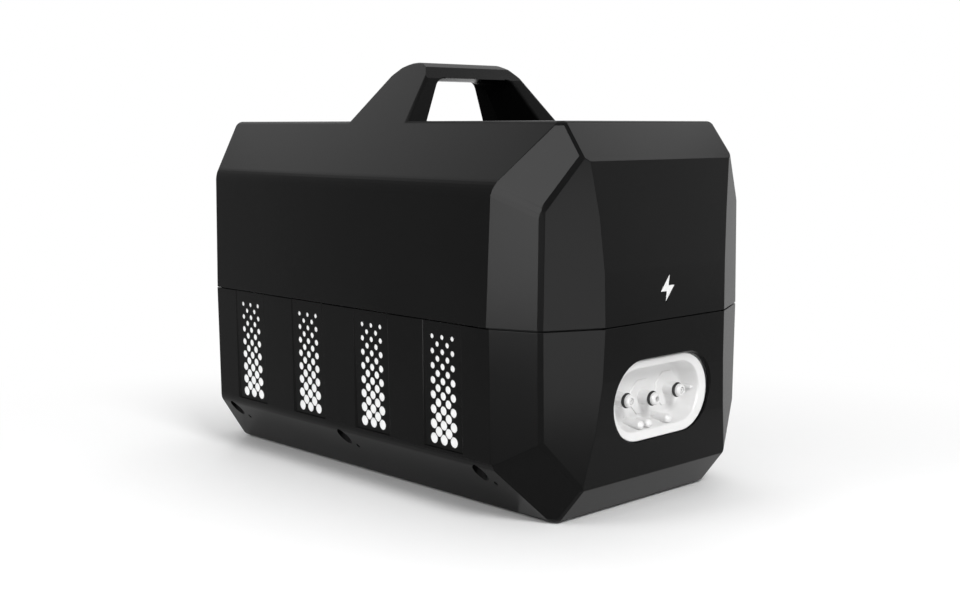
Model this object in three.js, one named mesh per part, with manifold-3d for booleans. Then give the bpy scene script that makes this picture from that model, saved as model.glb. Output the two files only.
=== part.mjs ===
// A hot and cold therapy machine: a carry-handled box that pumps warm or chilled water, and air, to a wrap.
// Lengths are in millimetres. +X points out of the socket end, +Z up, and -Y out of the machine's left side.
// Heights are measured from the underside of the case; the whole machine is lifted by its foot strips.
import * as THREE from "three";
import { ConvexGeometry } from "three/addons/geometries/ConvexGeometry.js";
import { mergeVertices } from "three/addons/utils/BufferGeometryUtils.js";
import Module from "manifold-3d";

const wasm = await Module();
wasm.setup();

// Driving dimensions

const caseLength = 419.6;
const caseWidth = 239.8;
const caseHeight = 265;
const seamHeight = 132;
const seamGap = 0.8;
const wall = 3;
const fitGap = 0.3;
const overrun = 5;

// How far each corner of the faceted case lies in from the overall box, for the upper and the lower half.
const upperForm = {
  sideInset: 0,
  foldInset: 2.4,
  foldDrop: 42.4,
  rimInset: 40.4,
  cornerSeamInset: 53.4,
  cornerFoldInset: 51.5,
  cornerRimInset: 27.3,
  bandSeamInset: 19.1,
  bandSeamSideInset: 15,
  bandFoldInset: 19.9,
  bandFoldSideInset: 15.3,
  bandFoldDrop: 57.7,
  faceSideInset: 55.9,
  faceBulge: 5.8,
  faceDrop: 25.8,
  endInset: 24.8,
  bevelWidth: 3.8,
  rimBevelWidth: 2.8,
};
const lowerForm = {
  sideInset: 1.1,
  foldInset: 2.4,
  foldDrop: 40.5,
  rimInset: 38.9,
  cornerSeamInset: 51.5,
  cornerFoldInset: 51.5,
  cornerRimInset: 30.8,
  bandSeamInset: 19.1,
  bandSeamSideInset: 15,
  bandFoldInset: 19.1,
  bandFoldSideInset: 16.1,
  bandFoldDrop: 59.2,
  faceSideInset: 55.9,
  faceBulge: 7,
  faceDrop: 25.3,
  endInset: 27.4,
  bevelWidth: 3.8,
  rimBevelWidth: 2.8,
};
const faceStrips = 3;

const lip = { height: 4, root: 2, thickness: 1.6 };
const handle = {
  baseHalf: 33,
  crownHalf: 19.5,
  crownRise: 38.5,
  peakRise: 43.8,
  crownRadius: 23.5,
  windowBaseHalf: 54,
  windowTopHalf: 35.5,
  windowRise: 30.4,
  windowCorner: 5,
  throatHalf: 8,
  flare: 5,
};
const vent = {
  count: 4,
  pitch: 75,
  halfWidth: 18.3,
  bottom: 44.5,
  skin: 0.9,
  topSink: 0.2,
  bottomSink: 1.2,
  rows: 15,
  firstRow: 121.3,
  rowPitch: 5.04,
  columnPitch: 10,
  smallHole: 1.75,
  largeHole: 3.75,
};
const filter = { thickness: 2.5 };
const socket = {
  height: 78,
  holeHalf: 52,
  holeHalfHeight: 28,
  rimSetback: 3.2,
  lipWidth: 0.6,
  ringHalf: 45.3,
  ringHalfHeight: 21.6,
  ringDepth: 2.4,
  floorHalf: 42,
  floorHalfHeight: 18.3,
  floorDepth: 17.1,
  flangeMargin: 6,
  flangeGap: 0.4,
  flangeThickness: 3,
  ribRadius: 3.1,
  ribRise: 0.5,
  ribSetback: 1.6,
  ribPlaces: [-17, 13],
  stubPlace: -8.5,
  stubLength: 8,
  keyWidth: 1.6,
  keyRise: 2,
  keyLength: 10.5,
};
const nipple = {
  pitch: 27.4,
  airDrop: 2.3,
  barrelRadius: 4.9,
  barrelLength: 9,
  grooveRadius: 3.15,
  noseRadius: 4.5,
  noseLength: 3.2,
  tipRadius: 3.1,
  boreRadius: 1.8,
  poppetBoreRadius: 2.2,
  poppetBoreDepth: 9,
  tailLength: 14,
  collarRadius: 13,
  collarRise: 0.7,
};
const ring = { tube: 0.9 };
const poppet = { radius: 1.8, length: 6, sink: 0.6, slotRadius: 0.9, slotDepth: 1.2 };
const indicator = { aboveSeam: 21, width: 14.6, tall: 18.2, thickness: 1.2, waist: 1.9 };
const panel = {
  x: 107,
  length: 96,
  width: 112,
  corner: 8,
  sink: 0.2,
  thickness: 1.5,
  ledge: 5,
  recess: 2,
};
const pane = { x: 128, length: 34, width: 72, corner: 3, thickness: 1.2 };
const button = {
  radius: 6.5,
  powerRadius: 9,
  stem: 3.4,
  flange: 1.1,
  flangeThickness: 1,
  rowX: 96,
  pitch: 22,
  powerX: 77,
  travel: 0.8,
};
const board = { thickness: 1.6, margin: 1.5, postRadius: 2.2, postDrop: 6, switchRadius: 2.5 };
const hatch = {
  x: -106,
  length: 84,
  width: 92,
  corner: 6,
  ledge: 3,
  lidThickness: 2.2,
  recess: 2.5,
  wellDepth: 14,
  barrelRadius: 5,
  pinRadius: 1.4,
  notchWidth: 24,
  notchLength: 7,
};
const tank = {
  x: -127,
  length: 78,
  width: 124,
  bottom: 8,
  top: 238,
  wall: 2.5,
  corner: 10,
  neckRadius: 17,
  neckTop: 253.5,
  spigotRadius: 4.5,
  spigotLength: 8,
  spigotHeight: 24,
  padRadius: 6,
};
const cap = { skirt: 3, depth: 8, top: 2, gripWidth: 5, gripRise: 4.5 };
const sink = {
  x: -2,
  length: 164,
  width: 92,
  finBottom: 42,
  baseBottom: 118,
  baseThickness: 8,
  fins: 13,
  finThickness: 2.4,
  postRadius: 4,
  postInset: 5,
};
const cooler = { size: 40, thickness: 3.7, spacing: 60 };
const coldBlock = { length: 124, width: 46, thickness: 16, spigotRadius: 4.5, spigotLength: 8 };
const fan = {
  size: 80,
  depth: 24,
  boreRadius: 38,
  hubRadius: 14,
  bladeRadius: 36.5,
  bladeThickness: 1.6,
  bladeTwist: 35,
  blades: 7,
  strutWidth: 4,
  strutDepth: 3,
  pitch: 84,
  axleRadius: 2,
};
const supply = { x: -2, length: 150, width: 68, bottom: 8, height: 30, corner: 3 };
const pump = {
  x: 117,
  axisInset: 8,
  length: 46,
  width: 44,
  bottom: 8,
  height: 46,
  chamberRadius: 15,
  chamberDepth: 14,
  inletRadius: 6,
  axleRadius: 1.5,
  axleLength: 22,
  impellerRadius: 13.6,
  impellerDisc: 2,
  vaneHeight: 7,
  vaneThickness: 1.6,
  vanes: 6,
  spigotRadius: 4.5,
  spigotLength: 6,
};
const airPump = {
  x: 117,
  y: 42,
  length: 46,
  width: 60,
  bottom: 8,
  height: 34,
  motorRadius: 14,
  motorRise: 16,
};
const valve = { length: 22, width: 80, height: 24, spigotLength: 6, legRadius: 5, legSpread: 58 };
const hose = { radius: 4.5, sides: 8 };
const inlet = {
  y: 0,
  height: 64,
  flangeWidth: 62,
  flangeHeight: 34,
  flangeThickness: 2,
  bodyWidth: 54,
  bodyHeight: 27,
  bodyDepth: 24,
  socketWidth: 26,
  socketHeight: 19,
  socketDepth: 15,
  socketY: 11,
  pinWidth: 4,
  pinThickness: 2,
  pinLength: 9.5,
  pinSpread: 7,
  pinRise: 3,
  corner: 3,
};
const rocker = {
  y: -15.5,
  width: 12,
  height: 20,
  thickness: 5,
  bulge: 1.6,
  depth: 9,
  restAngle: 9,
};
const foot = { x: 150, length: 18, width: 130, proud: 1, sunk: 1.6 };
const screw = {
  places: [-146, -4.6, 141.5],
  y: 110,
  pocketRadius: 5.5,
  bossWall: 1.6,
  seatDrop: 20,
  headRadius: 4.3,
  headHeight: 3,
  shankRadius: 1.8,
  shankLength: 34,
  upperBossRadius: 5.2,
  upperBossHeight: 26,
  driveRadius: 1.8,
  driveDepth: 1.6,
  drainRadius: 1.4,
  drainOffset: 8.8,
  drainInset: 5.8,
};

// Derived places

const centre = new THREE.Vector3(0, 0, seamHeight);
const caseEnd = caseLength / 2;
const caseSide = caseWidth / 2;
const topFace = caseHeight;
const topInside = caseHeight - wall;
const seatGap = fitGap;
const pumpY = -(tank.width / 2 - pump.axisInset);

// Colours and finishes

const finish = (color, roughness, metalness = 0) =>
  new THREE.MeshStandardMaterial({ color, roughness, metalness });
const blackPlastic = finish(0x232323, 0.5);
const panelBlack = finish(0x141416, 0.25);
const whitePlastic = finish(0xe6e6e4, 0.45);
const whiteFelt = finish(0xf4f4f2, 0.9);
const blackRubber = finish(0x101010, 0.7);
const buttonGrey = finish(0x3a3c3f, 0.45);
const naturalPlastic = finish(0xd8dcdc, 0.4);
const steel = finish(0xb8babd, 0.3, 1);
const aluminium = finish(0xa9adb1, 0.35, 1);
const ceramic = finish(0xe9e6dd, 0.6);
const boardGreen = finish(0x1d5136, 0.5);
const hoseGrey = finish(0x8f979c, 0.5);
const darkGlass = finish(0x0a0c10, 0.08);

// Solids: closed meshes from three.js shapes, joined and cut

function solid(geometry) {
  geometry.deleteAttribute("normal");
  geometry.deleteAttribute("uv");
  const merged = mergeVertices(geometry, 1e-4);
  return new wasm.Manifold(
    new wasm.Mesh({
      numProp: 3,
      vertProperties: new Float32Array(merged.attributes.position.array),
      triVerts: new Uint32Array(merged.index.array),
    }),
  );
}

function geometryOf(body) {
  const mesh = body.getMesh();
  const geometry = new THREE.BufferGeometry();
  geometry.setAttribute("position", new THREE.BufferAttribute(mesh.vertProperties, 3));
  geometry.setIndex(new THREE.BufferAttribute(mesh.triVerts, 1));
  return geometry;
}

const join = (first, ...rest) => rest.reduce((sum, next) => sum.add(next), first);
const cut = (first, ...rest) => rest.reduce((left, next) => left.subtract(next), first);

function place(name, shape, material, parent) {
  const geometry = shape.isBufferGeometry ? shape : geometryOf(shape);
  const mesh = new THREE.Mesh(geometry, material);
  mesh.name = name;
  parent.add(mesh);
  return mesh;
}

// A box from its lowest to its highest corner.
function block(low, high) {
  const size = high.map((value, axis) => value - low[axis]);
  const geometry = new THREE.BoxGeometry(...size);
  geometry.translate(...low.map((value, axis) => value + size[axis] / 2));
  return solid(geometry);
}

// A box given for the +Y side, made on the side that the sign names.
function sideBlock(signY, low, high) {
  const [near, far] = [signY * low[1], signY * high[1]].sort((a, b) => a - b);
  return block([low[0], near, low[2]], [high[0], far, high[2]]);
}

// A round bar of the given radius along x, y or z, from one place to another on that axis.
function bar(axis, radius, from, to, at, sides = 16) {
  const geometry = new THREE.CylinderGeometry(radius, radius, to - from, sides);
  geometry.translate(0, (from + to) / 2, 0);
  if (axis === "x") geometry.rotateZ(-Math.PI / 2);
  if (axis === "z") geometry.rotateX(Math.PI / 2);
  geometry.translate(...at);
  return solid(geometry);
}

// A lathe-turned body about z, from a closed profile of [radius, height] pairs.
function turned(profile, sides = 16) {
  const points = profile.map(([radius, height]) => new THREE.Vector2(radius, height));
  const geometry = new THREE.LatheGeometry([...points, points[0].clone()], sides);
  geometry.rotateX(Math.PI / 2);
  const body = solid(geometry);
  return body.volume() < 0 ? solid(geometryReversed(geometry)) : body;
}

function geometryReversed(geometry) {
  const index = geometry.index.array;
  for (let i = 0; i < index.length; i += 3) {
    [index[i + 1], index[i + 2]] = [index[i + 2], index[i + 1]];
  }
  return geometry;
}

const hull = (points) => solid(new ConvexGeometry(points));

// A rectangle with rounded corners about the origin.
function roundedRectangle(length, width, corner) {
  const x = length / 2;
  const y = width / 2;
  const shape = new THREE.Shape();
  shape.moveTo(-x + corner, -y);
  shape.lineTo(x - corner, -y);
  shape.absarc(x - corner, -y + corner, corner, -Math.PI / 2, 0);
  shape.absarc(x - corner, y - corner, corner, 0, Math.PI / 2);
  shape.absarc(-x + corner, y - corner, corner, Math.PI / 2, Math.PI);
  shape.absarc(-x + corner, -y + corner, corner, Math.PI, Math.PI * 1.5);
  return shape;
}

// A flat shape given depth upwards from a height.
function slab(shape, bottom, top, at = [0, 0], curveSegments = 3) {
  const geometry = new THREE.ExtrudeGeometry(shape, {
    depth: top - bottom,
    bevelEnabled: false,
    curveSegments,
  });
  geometry.translate(at[0], at[1], bottom);
  return solid(geometry);
}

// The faceted case, as the space inside a set of planes

const planeThrough = (a, b, c) => {
  const plane = new THREE.Plane().setFromCoplanarPoints(a, b, c);
  return plane.distanceToPoint(centre) > 0 ? plane.negate() : plane;
};

// The plane that bevels the edge between two planes, with a flat of the given width.
function bevelPlane(first, second, width) {
  const normal = first.normal.clone().add(second.normal);
  const length = normal.length();
  normal.divideScalar(length);
  const halfAngle = Math.acos(normal.dot(first.normal));
  const depth = (width / 2) * Math.tan(halfAngle);
  return new THREE.Plane(normal, (first.constant + second.constant) / length + depth);
}

const mirrored = (plane, signX, signY) =>
  new THREE.Plane(
    new THREE.Vector3(plane.normal.x * signX, plane.normal.y * signY, plane.normal.z),
    plane.constant,
  );

// The planes of one half of the case. A point's height is given as its drop from the half's outer face.
// The rear corners are cut straight from the side to the end face, the front ones take a band and a lens.
function facets(form, outerHeight) {
  const up = Math.sign(outerHeight - seamHeight);
  const point = (endInset, sideInset, drop) =>
    new THREE.Vector3(caseEnd - endInset, caseSide - sideInset, outerHeight - up * drop);
  const seamDrop = Math.abs(outerHeight - seamHeight);
  const cornerSeam = point(form.cornerSeamInset, form.sideInset, seamDrop);
  const cornerFold = point(form.cornerFoldInset, form.foldInset, form.foldDrop);
  const cornerRim = point(form.cornerRimInset, form.rimInset, 0);
  const bandSeam = point(form.bandSeamInset, form.bandSeamSideInset, seamDrop);
  const bandFold = point(form.bandFoldInset, form.bandFoldSideInset, form.bandFoldDrop);
  const faceSeam = point(0, form.faceSideInset, seamDrop);
  const alongX = new THREE.Vector3(-wall, 0, 0);
  const alongY = new THREE.Vector3(0, -wall, 0);
  const side = planeThrough(cornerSeam, cornerFold, cornerFold.clone().add(alongX));
  const chamfer = planeThrough(cornerFold, cornerRim, cornerRim.clone().add(alongX));
  const band = planeThrough(cornerSeam, cornerFold, bandSeam);
  const slant = planeThrough(cornerFold, cornerRim, bandFold);
  const lens = planeThrough(bandSeam, faceSeam, bandFold);
  const faceFold = point(form.faceBulge, form.faceSideInset, form.faceDrop);
  const rearFlank = planeThrough(cornerSeam, cornerFold, faceSeam);
  const rearSlant = planeThrough(cornerFold, cornerRim, faceFold);
  const endRim = point(form.endInset, form.rimInset, 0);
  const endFold = point(form.faceBulge, form.rimInset, form.faceDrop);
  const endSlope = planeThrough(endRim, endFold, endFold.clone().add(alongY));
  const strips = [];
  for (let k = 0; k < faceStrips; k += 1) {
    const shares = [k / faceStrips, (k + 1) / faceStrips];
    const [low, high] = shares.map((share) =>
      point(form.faceBulge * share ** 2, 0, seamDrop - share * (seamDrop - form.faceDrop)),
    );
    strips.push(planeThrough(low, high, high.clone().add(alongY)));
  }
  const bevels = [
    bevelPlane(band, lens, form.bevelWidth),
    bevelPlane(slant, lens, form.bevelWidth),
    bevelPlane(slant, endSlope, form.rimBevelWidth),
  ];
  const outer = new THREE.Plane(new THREE.Vector3(0, 0, up), -up * outerHeight);
  const planes = [outer];
  for (const signY of [-1, 1]) {
    planes.push(mirrored(side, 1, signY), mirrored(chamfer, 1, signY));
    planes.push(...[band, slant, lens, ...bevels].map((plane) => mirrored(plane, 1, signY)));
    planes.push(...[rearFlank, rearSlant].map((plane) => mirrored(plane, -1, signY)));
  }
  for (const signX of [-1, 1]) {
    planes.push(...[endSlope, ...strips].map((plane) => mirrored(plane, signX, 1)));
  }
  return { planes, side, chamfer, strips };
}

// The convex solid inside all the planes, each moved inwards by the inset, and inside the bounds as they are.
function insidePlanes(planes, bounds, inset = 0) {
  const shifted = planes.map((plane) => new THREE.Plane(plane.normal, plane.constant + inset));
  const moved = [...shifted, ...bounds];
  const flushShare = 1e-6;
  const sameShare = 1e-4;
  const flush = caseLength * flushShare;
  const same = caseLength * sameShare;
  const corners = [];
  for (let i = 0; i < moved.length; i += 1) {
    for (let j = i + 1; j < moved.length; j += 1) {
      for (let k = j + 1; k < moved.length; k += 1) {
        const corner = meetingPoint(moved[i], moved[j], moved[k]);
        if (!corner || moved.some((plane) => plane.distanceToPoint(corner) > flush)) continue;
        if (corners.every((other) => other.distanceTo(corner) > same)) corners.push(corner);
      }
    }
  }
  return hull(corners);
}

function meetingPoint(a, b, c) {
  const normals = new THREE.Matrix3();
  normals.set(...a.normal.toArray(), ...b.normal.toArray(), ...c.normal.toArray());
  const parallelShare = 1e-4;
  if (Math.abs(normals.determinant()) < parallelShare) return null;
  return new THREE.Vector3(-a.constant, -b.constant, -c.constant).applyMatrix3(normals.invert());
}

const above = (height) => new THREE.Plane(new THREE.Vector3(0, 0, -1), height);
const below = (height) => new THREE.Plane(new THREE.Vector3(0, 0, 1), -height);

const upper = facets(upperForm, caseHeight);
const lower = facets(lowerForm, 0);

// The distance of the lower half's side wall from the middle plane, at a height.
function lowerSideAt(height) {
  const { normal, constant } = lower.side;
  return (-constant - normal.z * height) / normal.y;
}

// The distance of the lower half's end wall from the middle plane, at a height.
function lowerEndAt(height) {
  const places = lower.strips.map(({ normal, constant }) => (-constant - normal.z * height) / normal.x);
  return Math.min(...places);
}

function upperEndAt(height) {
  const places = upper.strips.map(({ normal, constant }) => (-constant - normal.z * height) / normal.x);
  return Math.min(...places);
}

// The handle: a hollow arch whose flanks carry on the case's side chamfers

function archPlanes() {
  const flanks = [-1, 1].map((signY) => mirrored(upper.chamfer, 1, signY));
  const lean = new THREE.Vector3(handle.crownRise, 0, handle.baseHalf - handle.crownHalf).normalize();
  const handleFoot = new THREE.Vector3(handle.baseHalf, 0, topFace);
  const front = new THREE.Plane(lean, -lean.dot(handleFoot));
  const crownCentre = new THREE.Vector3(0, 0, topFace + handle.peakRise - handle.crownRadius);
  const crown = [-2, -1, 0, 1, 2].map((step) => {
    const turn = (step * Math.PI) / 8;
    const normal = new THREE.Vector3(Math.sin(turn), 0, Math.cos(turn));
    return new THREE.Plane(normal, -normal.dot(crownCentre) - handle.crownRadius);
  });
  return [...flanks, front, mirrored(front, -1, 1), ...crown];
}

const handlePlanes = archPlanes();

// The window through the handle, wider at its two faces than at its throat, and grown by a margin.
function handleWindow(margin, bottom) {
  const slope = (handle.windowBaseHalf - handle.windowTopHalf) / handle.windowRise;
  const outline = (x, growth) => {
    const top = topFace + handle.windowRise + growth / 2 + margin / 2;
    const topHalf = handle.windowTopHalf + growth + margin - slope * (growth / 2 + margin / 2);
    const bottomHalf = topHalf + slope * (top - bottom);
    const corner = handle.windowCorner;
    const points = [];
    for (const signY of [-1, 1]) {
      points.push(new THREE.Vector3(x, signY * bottomHalf, bottom));
      points.push(new THREE.Vector3(x, signY * (topHalf + slope * corner), top - corner));
      points.push(new THREE.Vector3(x, signY * (topHalf - corner / 4), top - corner / 4));
      points.push(new THREE.Vector3(x, signY * (topHalf - corner), top));
    }
    return points;
  };
  const reach = handle.baseHalf + overrun;
  const reachFlare = (handle.flare * (reach - handle.throatHalf)) / (handle.baseHalf - handle.throatHalf);
  const throat = hull([...outline(-handle.throatHalf, 0), ...outline(handle.throatHalf, 0)]);
  const mouths = [-1, 1].map((signX) =>
    hull([...outline(signX * handle.throatHalf, 0), ...outline(signX * reach, reachFlare)]),
  );
  return join(throat, ...mouths);
}

// The socket's outlines: ovals with straight top and bottom, in a plane square to x

function ovalPoints(x, halfWidth, halfHeight, steps = 6) {
  const points = [];
  for (const side of [-1, 1]) {
    for (let k = 0; k <= steps; k += 1) {
      const turn = -Math.PI / 2 + (Math.PI * k) / steps;
      const y = side * (halfWidth - halfHeight + halfHeight * Math.cos(turn));
      points.push(new THREE.Vector3(x, y, socket.height + halfHeight * Math.sin(turn)));
    }
  }
  return points;
}

const ovalBlock = (x0, half0, tall0, x1, half1, tall1) =>
  hull([...ovalPoints(x0, half0, tall0), ...ovalPoints(x1, half1, tall1)]);

const socketLow = socket.height - socket.holeHalfHeight;
const rimHalf = socket.holeHalf - fitGap;
const rimHalfHeight = socket.holeHalfHeight - fitGap;
const socketRimX = lowerEndAt(socket.height) - socket.rimSetback;
const socketRingX = socketRimX - socket.ringDepth;
const socketFloorX = socketRimX - socket.floorDepth;
const nippleSpots = [
  { name: "supply", y: -nipple.pitch, z: socket.height, bore: nipple.poppetBoreRadius },
  { name: "air", y: 0, z: socket.height - nipple.airDrop, bore: nipple.boreRadius },
  { name: "return", y: nipple.pitch, z: socket.height, bore: nipple.poppetBoreRadius },
];

// The row of vents along a side, by the middle of each

const ventTop = seamHeight - seamGap / 2;

const ventCentres = Array.from(
  { length: vent.count },
  (_, k) => (k - (vent.count - 1) / 2) * vent.pitch,
);

const screwSpots = screw.places.flatMap((x) => [-1, 1].map((signY) => ({ x, y: signY * screw.y, signY })));
const screwSeat = seamHeight - screw.seatDrop;
const bossRadius = screw.pocketRadius + screw.bossWall;

const panelShape = roundedRectangle(panel.length, panel.width, panel.corner);
const hatchEdge = hatch.x - hatch.length / 2;
const hingeX = hatchEdge + hatch.barrelRadius + fitGap;
const hingeZ = topFace - hatch.barrelRadius;
const wellHalf = hatch.width / 2 - hatch.ledge;
const pinHalf = wellHalf + wall / 2;
const wellFar = hatch.x + hatch.length / 2 - hatch.ledge;
const boardTop = topInside - board.postDrop;
const boardLength = panel.length - board.margin * 2;
const boardWidth = panel.width - board.margin * 2;

const buttonSpots = [
  { name: "power", x: button.powerX, y: 0, radius: button.powerRadius },
  ...["mode", "minus", "plus", "start"].map((name, k) => ({
    name,
    x: button.rowX,
    y: (k - 1.5) * button.pitch,
    radius: button.radius,
  })),
];

function upperShell() {
  const shellOuter = insidePlanes(upper.planes, [above(seamHeight + seamGap / 2)]);
  const shellInner = insidePlanes(upper.planes, [above(seamHeight - overrun)], wall);
  const archLow = topFace - wall / 2;
  const arch = cut(
    insidePlanes(handlePlanes, [above(archLow)]),
    handleWindow(0, archLow - overrun),
  );
  const archHollow = cut(
    insidePlanes(handlePlanes, [above(topInside - overrun)], wall),
    handleWindow(wall, topInside - overrun * 2),
  );
  const shell = cut(join(shellOuter, arch), shellInner, archHollow);
  const bosses = screwSpots.map(({ x, y, signY }) => {
    const bottom = seamHeight + seamGap / 2;
    const top = bottom + screw.upperBossHeight;
    const half = screw.upperBossRadius / 2;
    return join(
      bar("z", screw.upperBossRadius, bottom, top, [x, y, 0], 12),
      sideBlock(signY, [x - half, screw.y, bottom], [x + half, caseSide - wall / 2, top]),
    );
  });
  const bossHoles = screwSpots.map(({ x, y }) => {
    const bottom = seamHeight - overrun;
    const top = screwSeat + screw.shankLength + fitGap * 2;
    return bar("z", screw.shankRadius + fitGap, bottom, top, [x, y, 0], 6);
  });
  const panelRecess = slab(panelShape, topFace - panel.recess, topFace + overrun, [panel.x, 0]);
  const panelHole = slab(
    roundedRectangle(panel.length - panel.ledge * 2, panel.width - panel.ledge * 2, panel.corner),
    topInside - overrun,
    topFace,
    [panel.x, 0],
  );
  const boardPosts = [-1, 1].flatMap((signX) =>
    [-1, 1].map((signY) => {
      const x = panel.x + signX * (boardLength / 2 - board.postRadius);
      const y = signY * (boardWidth / 2 - board.postRadius);
      return bar("z", board.postRadius, boardTop + seatGap, topInside + wall / 2, [x, y, 0], 8);
    }),
  );
  return cut(
    join(shell, ...bosses.map((boss) => boss.intersect(shellOuter)), ...boardPosts, hatchWell()),
    ...bossHoles,
    panelRecess,
    panelHole,
    ...hatchCuts(),
    indicatorPocket(),
  );
}

// The sunken tray under the hatch lid, which takes the hinge pin in its two side walls.
function hatchWell() {
  const low = [hatchEdge - wall, -wellHalf - wall, topInside - hatch.wellDepth];
  const high = [wellFar + wall, wellHalf + wall, topInside + wall / 2];
  return block(low, high);
}

function hatchCuts() {
  const recess = slab(
    roundedRectangle(hatch.length, hatch.width, hatch.corner),
    topFace - hatch.recess,
    topFace + overrun,
    [hatch.x, 0],
  );
  const wellFloor = topInside - hatch.wellDepth + wall;
  const well = block([hatchEdge, -wellHalf, wellFloor], [wellFar, wellHalf, topFace + overrun]);
  const neckHole = bar(
    "z",
    tank.neckRadius + cap.skirt + fitGap * 2,
    wellFloor - wall - overrun,
    wellFloor + overrun,
    [hatch.x, 0, 0],
    24,
  );
  const pinHole = bar(
    "y",
    hatch.pinRadius + fitGap / 2,
    -pinHalf - fitGap,
    pinHalf + fitGap,
    [hingeX, 0, hingeZ],
    12,
  );
  const notch = block(
    [hatch.x + hatch.length / 2 - fitGap, -hatch.notchWidth / 2, topFace - hatch.recess],
    [hatch.x + hatch.length / 2 + hatch.notchLength, hatch.notchWidth / 2, topFace + overrun],
  );
  return [recess, well, neckHole, pinHole, notch];
}

function lowerShell() {
  const shellOuter = insidePlanes(lower.planes, [below(seamHeight - seamGap / 2)]);
  const shellInner = insidePlanes(lower.planes, [below(seamHeight + overrun)], wall);
  const lipBounds = [above(seamHeight - seamGap - lip.root), below(seamHeight + lip.height)];
  const lipOuter = insidePlanes(upper.planes, lipBounds, wall + fitGap);
  const lipInnerBounds = [above(seamHeight - overrun), below(seamHeight + overrun)];
  const lipInner = insidePlanes(upper.planes, lipInnerBounds, wall + fitGap + lip.thickness);
  const lipNotches = screwSpots.map(({ x, signY }) => {
    const reach = screw.upperBossRadius + fitGap * 2;
    return sideBlock(
      signY,
      [x - reach, screw.y - reach, seamHeight - seamGap / 2],
      [x + reach, caseSide + overrun, seamHeight + lip.height + overrun],
    );
  });
  const lipRing = cut(lipOuter, lipInner, ...lipNotches);
  const bosses = screwSpots.map(({ x, y }) =>
    bar("z", bossRadius, 0, seamHeight - seamGap / 2, [x, y, 0], 12).intersect(shellOuter),
  );
  const pockets = screwSpots.flatMap(({ x, y }) => [
    bar("z", screw.pocketRadius, -overrun, screwSeat, [x, y, 0], 12),
    bar("z", screw.shankRadius + fitGap, 0, seamHeight + overrun, [x, y, 0], 6),
  ]);
  const drains = screwSpots.map(({ x, y, signY }) =>
    bar(
      "z",
      screw.drainRadius,
      -overrun,
      seamHeight / 2,
      [x + screw.drainOffset, y - signY * screw.drainInset, 0],
      6,
    ),
  );
  const windows = ventCentres.flatMap((x) =>
    [-1, 1].map((signY) =>
      sideBlock(
        signY,
        [x - vent.halfWidth, caseSide - wall * 3, vent.bottom],
        [x + vent.halfWidth, caseSide + overrun, ventTop],
      ),
    ),
  );
  const socketHole = ovalBlock(
    socketFloorX,
    socket.holeHalf,
    socket.holeHalfHeight,
    caseEnd + overrun,
    socket.holeHalf,
    socket.holeHalfHeight,
  );
  const footPockets = [-1, 1].map((signX) =>
    block(
      [signX * foot.x - foot.length / 2 - fitGap, -foot.width / 2 - fitGap, -overrun],
      [signX * foot.x + foot.length / 2 + fitGap, foot.width / 2 + fitGap, foot.sunk],
    ),
  );
  return cut(
    join(cut(shellOuter, shellInner), lipRing, ...bosses, ...innerSupports()),
    ...pockets,
    ...drains,
    ...windows,
    socketHole,
    ...footPockets,
    ...inletCuts(),
  );
}

// Pads and posts that rise from the floor of the lower shell under each inner piece.
function innerSupports() {
  const rise = (x, y, radius, top) => bar("z", radius, wall / 2, top - seatGap, [x, y, 0], 8);
  const corners = (x, y, halfLength, halfWidth, radius, top) =>
    [-1, 1].flatMap((signX) =>
      [-1, 1].map((signY) => rise(x + signX * halfLength, y + signY * halfWidth, radius, top)),
    );
  const pad = tank.padRadius;
  return [
    ...corners(tank.x, 0, tank.length / 2 - pad, tank.width / 2 - pad * 2, pad, tank.bottom),
    ...corners(supply.x, 0, supply.length / 2 - pad, supply.width / 2 - pad, pad, supply.bottom),
    ...corners(
      sink.x,
      0,
      sink.length / 2 - sink.postInset,
      sink.width / 2 - sink.postInset,
      sink.postRadius,
      sink.finBottom,
    ),
    rise(pump.x, pumpY, pad * 2, pump.bottom),
    rise(airPump.x, airPump.y, pad * 2, airPump.bottom),
    rise(valveX, valve.legSpread / 2, valve.legRadius, valveBottom),
    rise(valveX, -valve.legSpread / 2, valve.legRadius, valveBottom),
  ];
}

const inletFaceX = -lowerEndAt(inlet.height + inlet.flangeHeight / 2);
const inletSeatX = -lowerEndAt(inlet.height - inlet.flangeHeight / 2) + inlet.flangeThickness;

function inletCuts() {
  const flange = slabToEnd(
    roundedRectangle(
      inlet.flangeHeight + fitGap * 2,
      inlet.flangeWidth + fitGap * 2,
      inlet.corner + fitGap,
    ),
    inletFaceX - overrun,
    inletSeatX,
  );
  const halfWidth = inlet.bodyWidth / 2 + fitGap;
  const halfHeight = inlet.bodyHeight / 2 + fitGap;
  const body = block(
    [inletSeatX - overrun, inlet.y - halfWidth, inlet.height - halfHeight],
    [inletSeatX + overrun * 2, inlet.y + halfWidth, inlet.height + halfHeight],
  );
  return [flange, body];
}

// A flat shape about the inlet's middle, given depth along x between two places.
function slabToEnd(shape, from, to, y = inlet.y) {
  const geometry = new THREE.ExtrudeGeometry(shape, {
    depth: to - from,
    bevelEnabled: false,
    curveSegments: 3,
  });
  geometry.rotateY(Math.PI / 2);
  geometry.translate(from, y, inlet.height);
  return solid(geometry);
}

// Vent grilles: thin perforated skins, sunk a little further into the wall towards the bottom

const ventRise = ventTop - vent.bottom - fitGap * 2;
const grilleTopY = lowerSideAt(ventTop) - vent.topSink;
const grilleBottomY = lowerSideAt(vent.bottom) - vent.bottomSink;
const grilleLean = Math.atan2(grilleTopY - grilleBottomY, ventTop - vent.bottom);

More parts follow.
